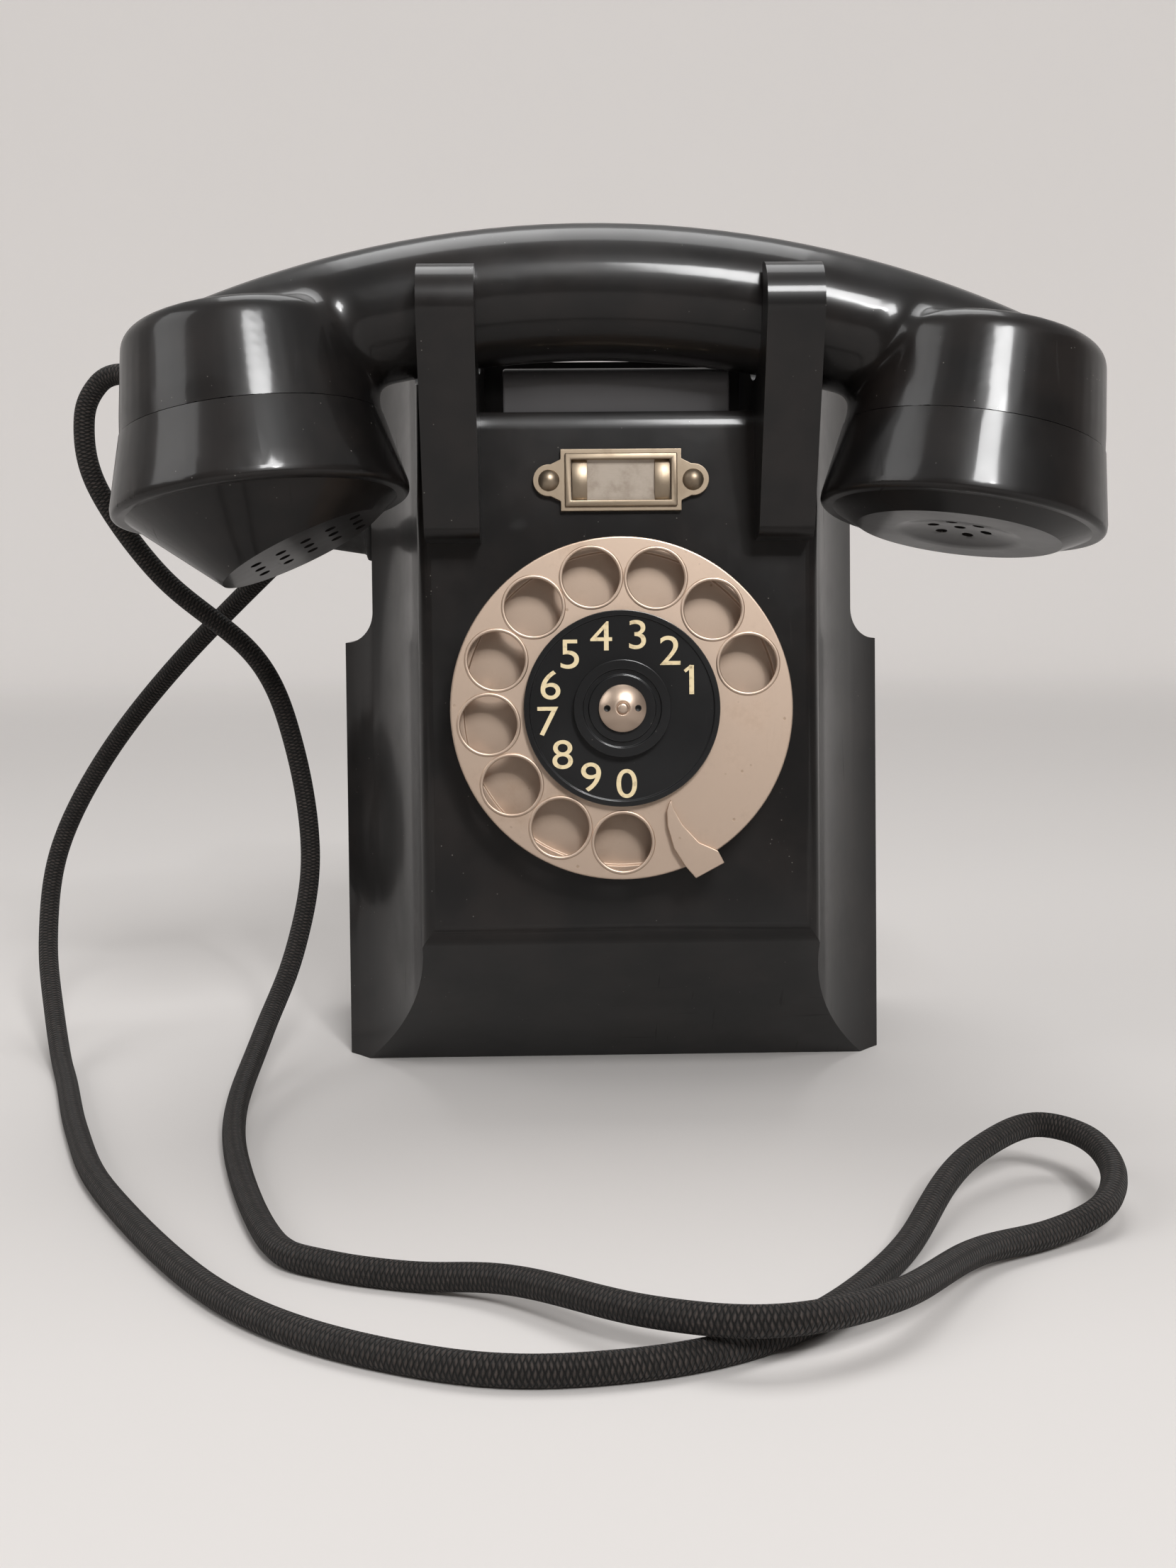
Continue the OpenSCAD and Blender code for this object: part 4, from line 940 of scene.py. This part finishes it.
class TELEPHONE_OT_cord(Operator):
    """Braided cord from the handset to the case, and the gland in the case"""

    bl_idname = "telephone.cord"
    bl_label = "Handset cord"

    def execute(self, context):
        sizes = context.scene.telephone_sizes
        eased("cord_gland", "case_gland", sizes.moulding_edge, finishes()["rubber"])
        path = self.path(sizes.cord_steps, sizes.cord_d / 2 + CORD_CLEAR)
        cord = self.tube(path, sizes.cord_d / 2, sizes.cord_sides)
        cord.data.materials.append(finishes()["braid"])
        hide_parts("handset_cord")
        SLOT_OF["handset_cord"]
        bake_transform(cord)
        return {"FINISHED"}

    def path(self, steps, low):
        """The route as one smooth line on the table, with a straight lead at each end."""
        route = [Vector(p) for p in CORD_ROUTE]
        line = []
        for i in range(len(route) - 1):
            a, b, c, d = route[max(i - 1, 0)], route[i], route[i + 1], route[min(i + 2, len(route) - 1)]
            for k in range(steps):
                t = k / steps
                bend, twist = 2 * a - 5 * b + 4 * c - d, 3 * b - a - 3 * c + d
                line.append((2 * b + (c - a) * t + bend * t**2 + twist * t**3) / 2)
        for point in line:
            point.z = max(point.z, low)
        for _ in range(CORD_EASE):
            line[1:-1] = [(a + 2 * b + c) / 4 for a, b, c in zip(line, line[1:], line[2:])]
        return [Vector(CORD_FROM), *line, route[-1], Vector(CORD_TO)]

    def tube(self, path, radius, sides):
        """A closed tube along the path, with its own coordinates along and around it."""
        shape = bmesh.new()
        uv = shape.loops.layers.uv.new("along")
        side = Vector((0, 0, 1))
        rings, run = [], [0.0]
        for i, point in enumerate(path):
            ahead = (path[min(i + 1, len(path) - 1)] - path[max(i - 1, 0)]).normalized()
            side = (side - ahead * side.dot(ahead)).normalized()
            other = ahead.cross(side)
            turns = [2 * math.pi * k / sides for k in range(sides)]
            spokes = [side * math.cos(turn) + other * math.sin(turn) for turn in turns]
            rings.append([shape.verts.new(point + radius * spoke) for spoke in spokes])
            if i:
                run.append(run[-1] + (point - path[i - 1]).length)
        girth = 2 * math.pi * radius
        for i in range(len(rings) - 1):
            for k in range(sides):
                j = (k + 1) % sides
                face = shape.faces.new((rings[i][k], rings[i][j], rings[i + 1][j], rings[i + 1][k]))
                corners = ((i, k), (i, k + 1), (i + 1, k + 1), (i + 1, k))
                for loop, (row, step) in zip(face.loops, corners):
                    loop[uv].uv = (run[row] / girth, step / sides)
        shape.faces.new(reversed(rings[0]))
        shape.faces.new(rings[-1])
        mesh = bpy.data.meshes.new("braided_cord")
        shape.to_mesh(mesh)
        shape.free()
        cord = bpy.data.objects.new("braided_cord", mesh)
        bpy.context.scene.collection.objects.link(cord)
        smooth(cord, 60)
        return cord


class TELEPHONE_OT_back(Operator):
    """Back plate, its slotted screws and the line grommet"""

    bl_idname = "telephone.back"
    bl_label = "Back"

    def execute(self, context):
        edge = context.scene.telephone_sizes.metal_edge
        steel = finishes()["steel"]
        eased("base_plate", "back_plate", edge, steel)
        eased("line_grommet", "line_grommet_ring", edge * 1.5, finishes()["rubber"])
        self.screws(edge, steel)
        return {"FINISHED"}

    def screws(self, edge, steel):
        """The frame's screws with a driver slot cut across each head, each at its own turn."""
        screws = carved("case_screws", "plate_screws")
        deselect()
        low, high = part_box("case_screws")
        slots = []
        for x, across in ((low.x, SCREW_IN), (high.x, -SCREW_IN)):
            for z, up in ((low.z, SCREW_IN), (high.z, -SCREW_IN)):
                turn = 0.5 + 30 * (x - low.x) + 17 * (z - low.z)
                place = (x + across, high.y, z + up)
                bpy.ops.mesh.primitive_cube_add(
                    size=1, location=place, rotation=(0, turn, 0), scale=SLOT_SIZE
                )
                slots.append(bpy.context.object)
        for slot in slots:
            slot.select_set(True)
        bpy.ops.object.join()
        cutter = added("screw_slots")
        bpy.ops.object.transform_apply(location=True, rotation=True, scale=True)
        modify(screws, "BOOLEAN", operation="DIFFERENCE", object=cutter, solver="EXACT")
        bpy.data.objects.remove(cutter)
        modify(screws, "BEVEL", width=edge, segments=2, limit_method="ANGLE")
        smooth(screws)
        dress(screws, steel, "case", "case_screws")


class TELEPHONE_OT_works(Operator):
    """Finishes of the works inside the case and the handset"""

    bl_idname = "telephone.works"
    bl_label = "Works"

    def execute(self, context):
        for node, slot in SLOT_OF.items():
            piece = frame["nodes"][node]
            if not piece.hide_render:
                piece.data.materials.clear()
                piece.data.materials.append(finishes()[slot])
        return {"FINISHED"}


class TELEPHONE_OT_stage(Operator):
    """Pale floor, soft lamps and the camera at the photograph's viewpoint"""

    bl_idname = "telephone.stage"
    bl_label = "Stage"

    def execute(self, context):
        self.floor()
        for name, (place, size, power) in LAMPS.items():
            self.lamp(name, place, size, power)
        self.world()
        self.camera()
        return {"FINISHED"}

    def floor(self):
        """A round floor that curves up into its backdrop."""
        deselect()
        bpy.ops.mesh.primitive_circle_add(vertices=96, radius=FLOOR_R, fill_type="NGON")
        floor = added("floor")
        bpy.ops.object.mode_set(mode="EDIT")
        bpy.ops.mesh.select_all(action="SELECT")
        bpy.ops.mesh.select_mode(type="EDGE")
        bpy.ops.mesh.region_to_loop()
        for i in range(BACKDROP_STEPS):
            angle = math.pi / 2 * (i + 1) / BACKDROP_STEPS
            before = math.pi / 2 * i / BACKDROP_STEPS
            out = FLOOR_R + BACKDROP_CURVE * math.sin(angle)
            was = FLOOR_R + BACKDROP_CURVE * math.sin(before)
            rise = BACKDROP_CURVE * (math.cos(before) - math.cos(angle))
            bpy.ops.mesh.extrude_region_move(TRANSFORM_OT_translate={"value": (0, 0, rise)})
            bpy.ops.transform.resize(value=(out / was, out / was, 1), center_override=(0, 0, 0))
        bpy.ops.mesh.extrude_region_move(TRANSFORM_OT_translate={"value": (0, 0, BACKDROP_H)})
        bpy.ops.mesh.select_all(action="SELECT")
        bpy.ops.mesh.normals_make_consistent(inside=True)
        bpy.ops.object.mode_set(mode="OBJECT")
        smooth(floor, 40)
        floor.data.materials.append(finishes()["floor"])

    def lamp(self, name, place, size, power):
        """A square soft lamp that faces the telephone."""
        deselect()
        bpy.ops.object.light_add(type="AREA", location=place)
        lamp = added("lamp_" + name)
        lamp.data.shape, lamp.data.size, lamp.data.energy = "SQUARE", size, power
        lamp.rotation_euler = (LAMPS_FACE - Vector(place)).to_track_quat("-Z", "Y").to_euler()

    def world(self):
        """Even light from all round."""
        world = bpy.data.worlds.new("studio")
        world.use_nodes = True
        sky = world.node_tree.nodes["Background"].inputs
        sky["Color"].default_value = SKY_COLOUR
        sky["Strength"].default_value = SKY_STRENGTH
        bpy.context.scene.world = world

    def camera(self):
        """The photograph's viewpoint, lens and slight turn."""
        deselect()
        yaw, pitch, roll = (math.radians(a) for a in (CAMERA_YAW, CAMERA_PITCH, CAMERA_ROLL))
        bpy.ops.object.camera_add(location=CAMERA_AT)
        camera = added("camera")
        turn = Euler((math.pi / 2 - pitch, 0, -yaw)).to_matrix() @ Euler((0, 0, roll)).to_matrix()
        camera.rotation_euler = turn.to_euler()
        camera.data.lens, camera.data.sensor_width = CAMERA_LENS, CAMERA_SENSOR
        camera.data.clip_start = 0.01
        scene = bpy.context.scene
        scene.camera = camera
        scene.view_settings.view_transform = "Standard"


STEPS = (
    TELEPHONE_OT_case, TELEPHONE_OT_card, TELEPHONE_OT_dial, TELEPHONE_OT_handset,
    TELEPHONE_OT_cord, TELEPHONE_OT_back, TELEPHONE_OT_works, TELEPHONE_OT_stage,
)


class TELEPHONE_PT_panel(Panel):
    """Sizes, colours and steps of the telephone"""

    bl_idname = "TELEPHONE_PT_panel"
    bl_label = "Telephone"
    bl_space_type = "VIEW_3D"
    bl_region_type = "UI"
    bl_category = "Telephone"

    def draw(self, context):
        for settings in (context.scene.telephone_sizes, context.scene.telephone_colours):
            column = self.layout.column()
            for name in settings.__annotations__:
                column.prop(settings, name)
        for step in STEPS:
            self.layout.operator(step.bl_idname)


CLASSES = (TelephoneSizes, TelephoneColours, *STEPS, TELEPHONE_PT_panel)


def register():
    """Registers the classes and hangs the settings on the scene."""
    for entry in CLASSES:
        bpy.utils.register_class(entry)
    bpy.types.Scene.telephone_sizes = PointerProperty(type=TelephoneSizes)
    bpy.types.Scene.telephone_colours = PointerProperty(type=TelephoneColours)


def unregister():
    """Takes the settings and the classes away again."""
    del bpy.types.Scene.telephone_sizes, bpy.types.Scene.telephone_colours
    for entry in reversed(CLASSES):
        bpy.utils.unregister_class(entry)


def main():
    """Builds the telephone on its stage."""
    register()
    for step in STEPS:
        group, action = step.bl_idname.split(".")
        getattr(getattr(bpy.ops, group), action)()
    deselect()


if __name__ == "__main__":
    main()
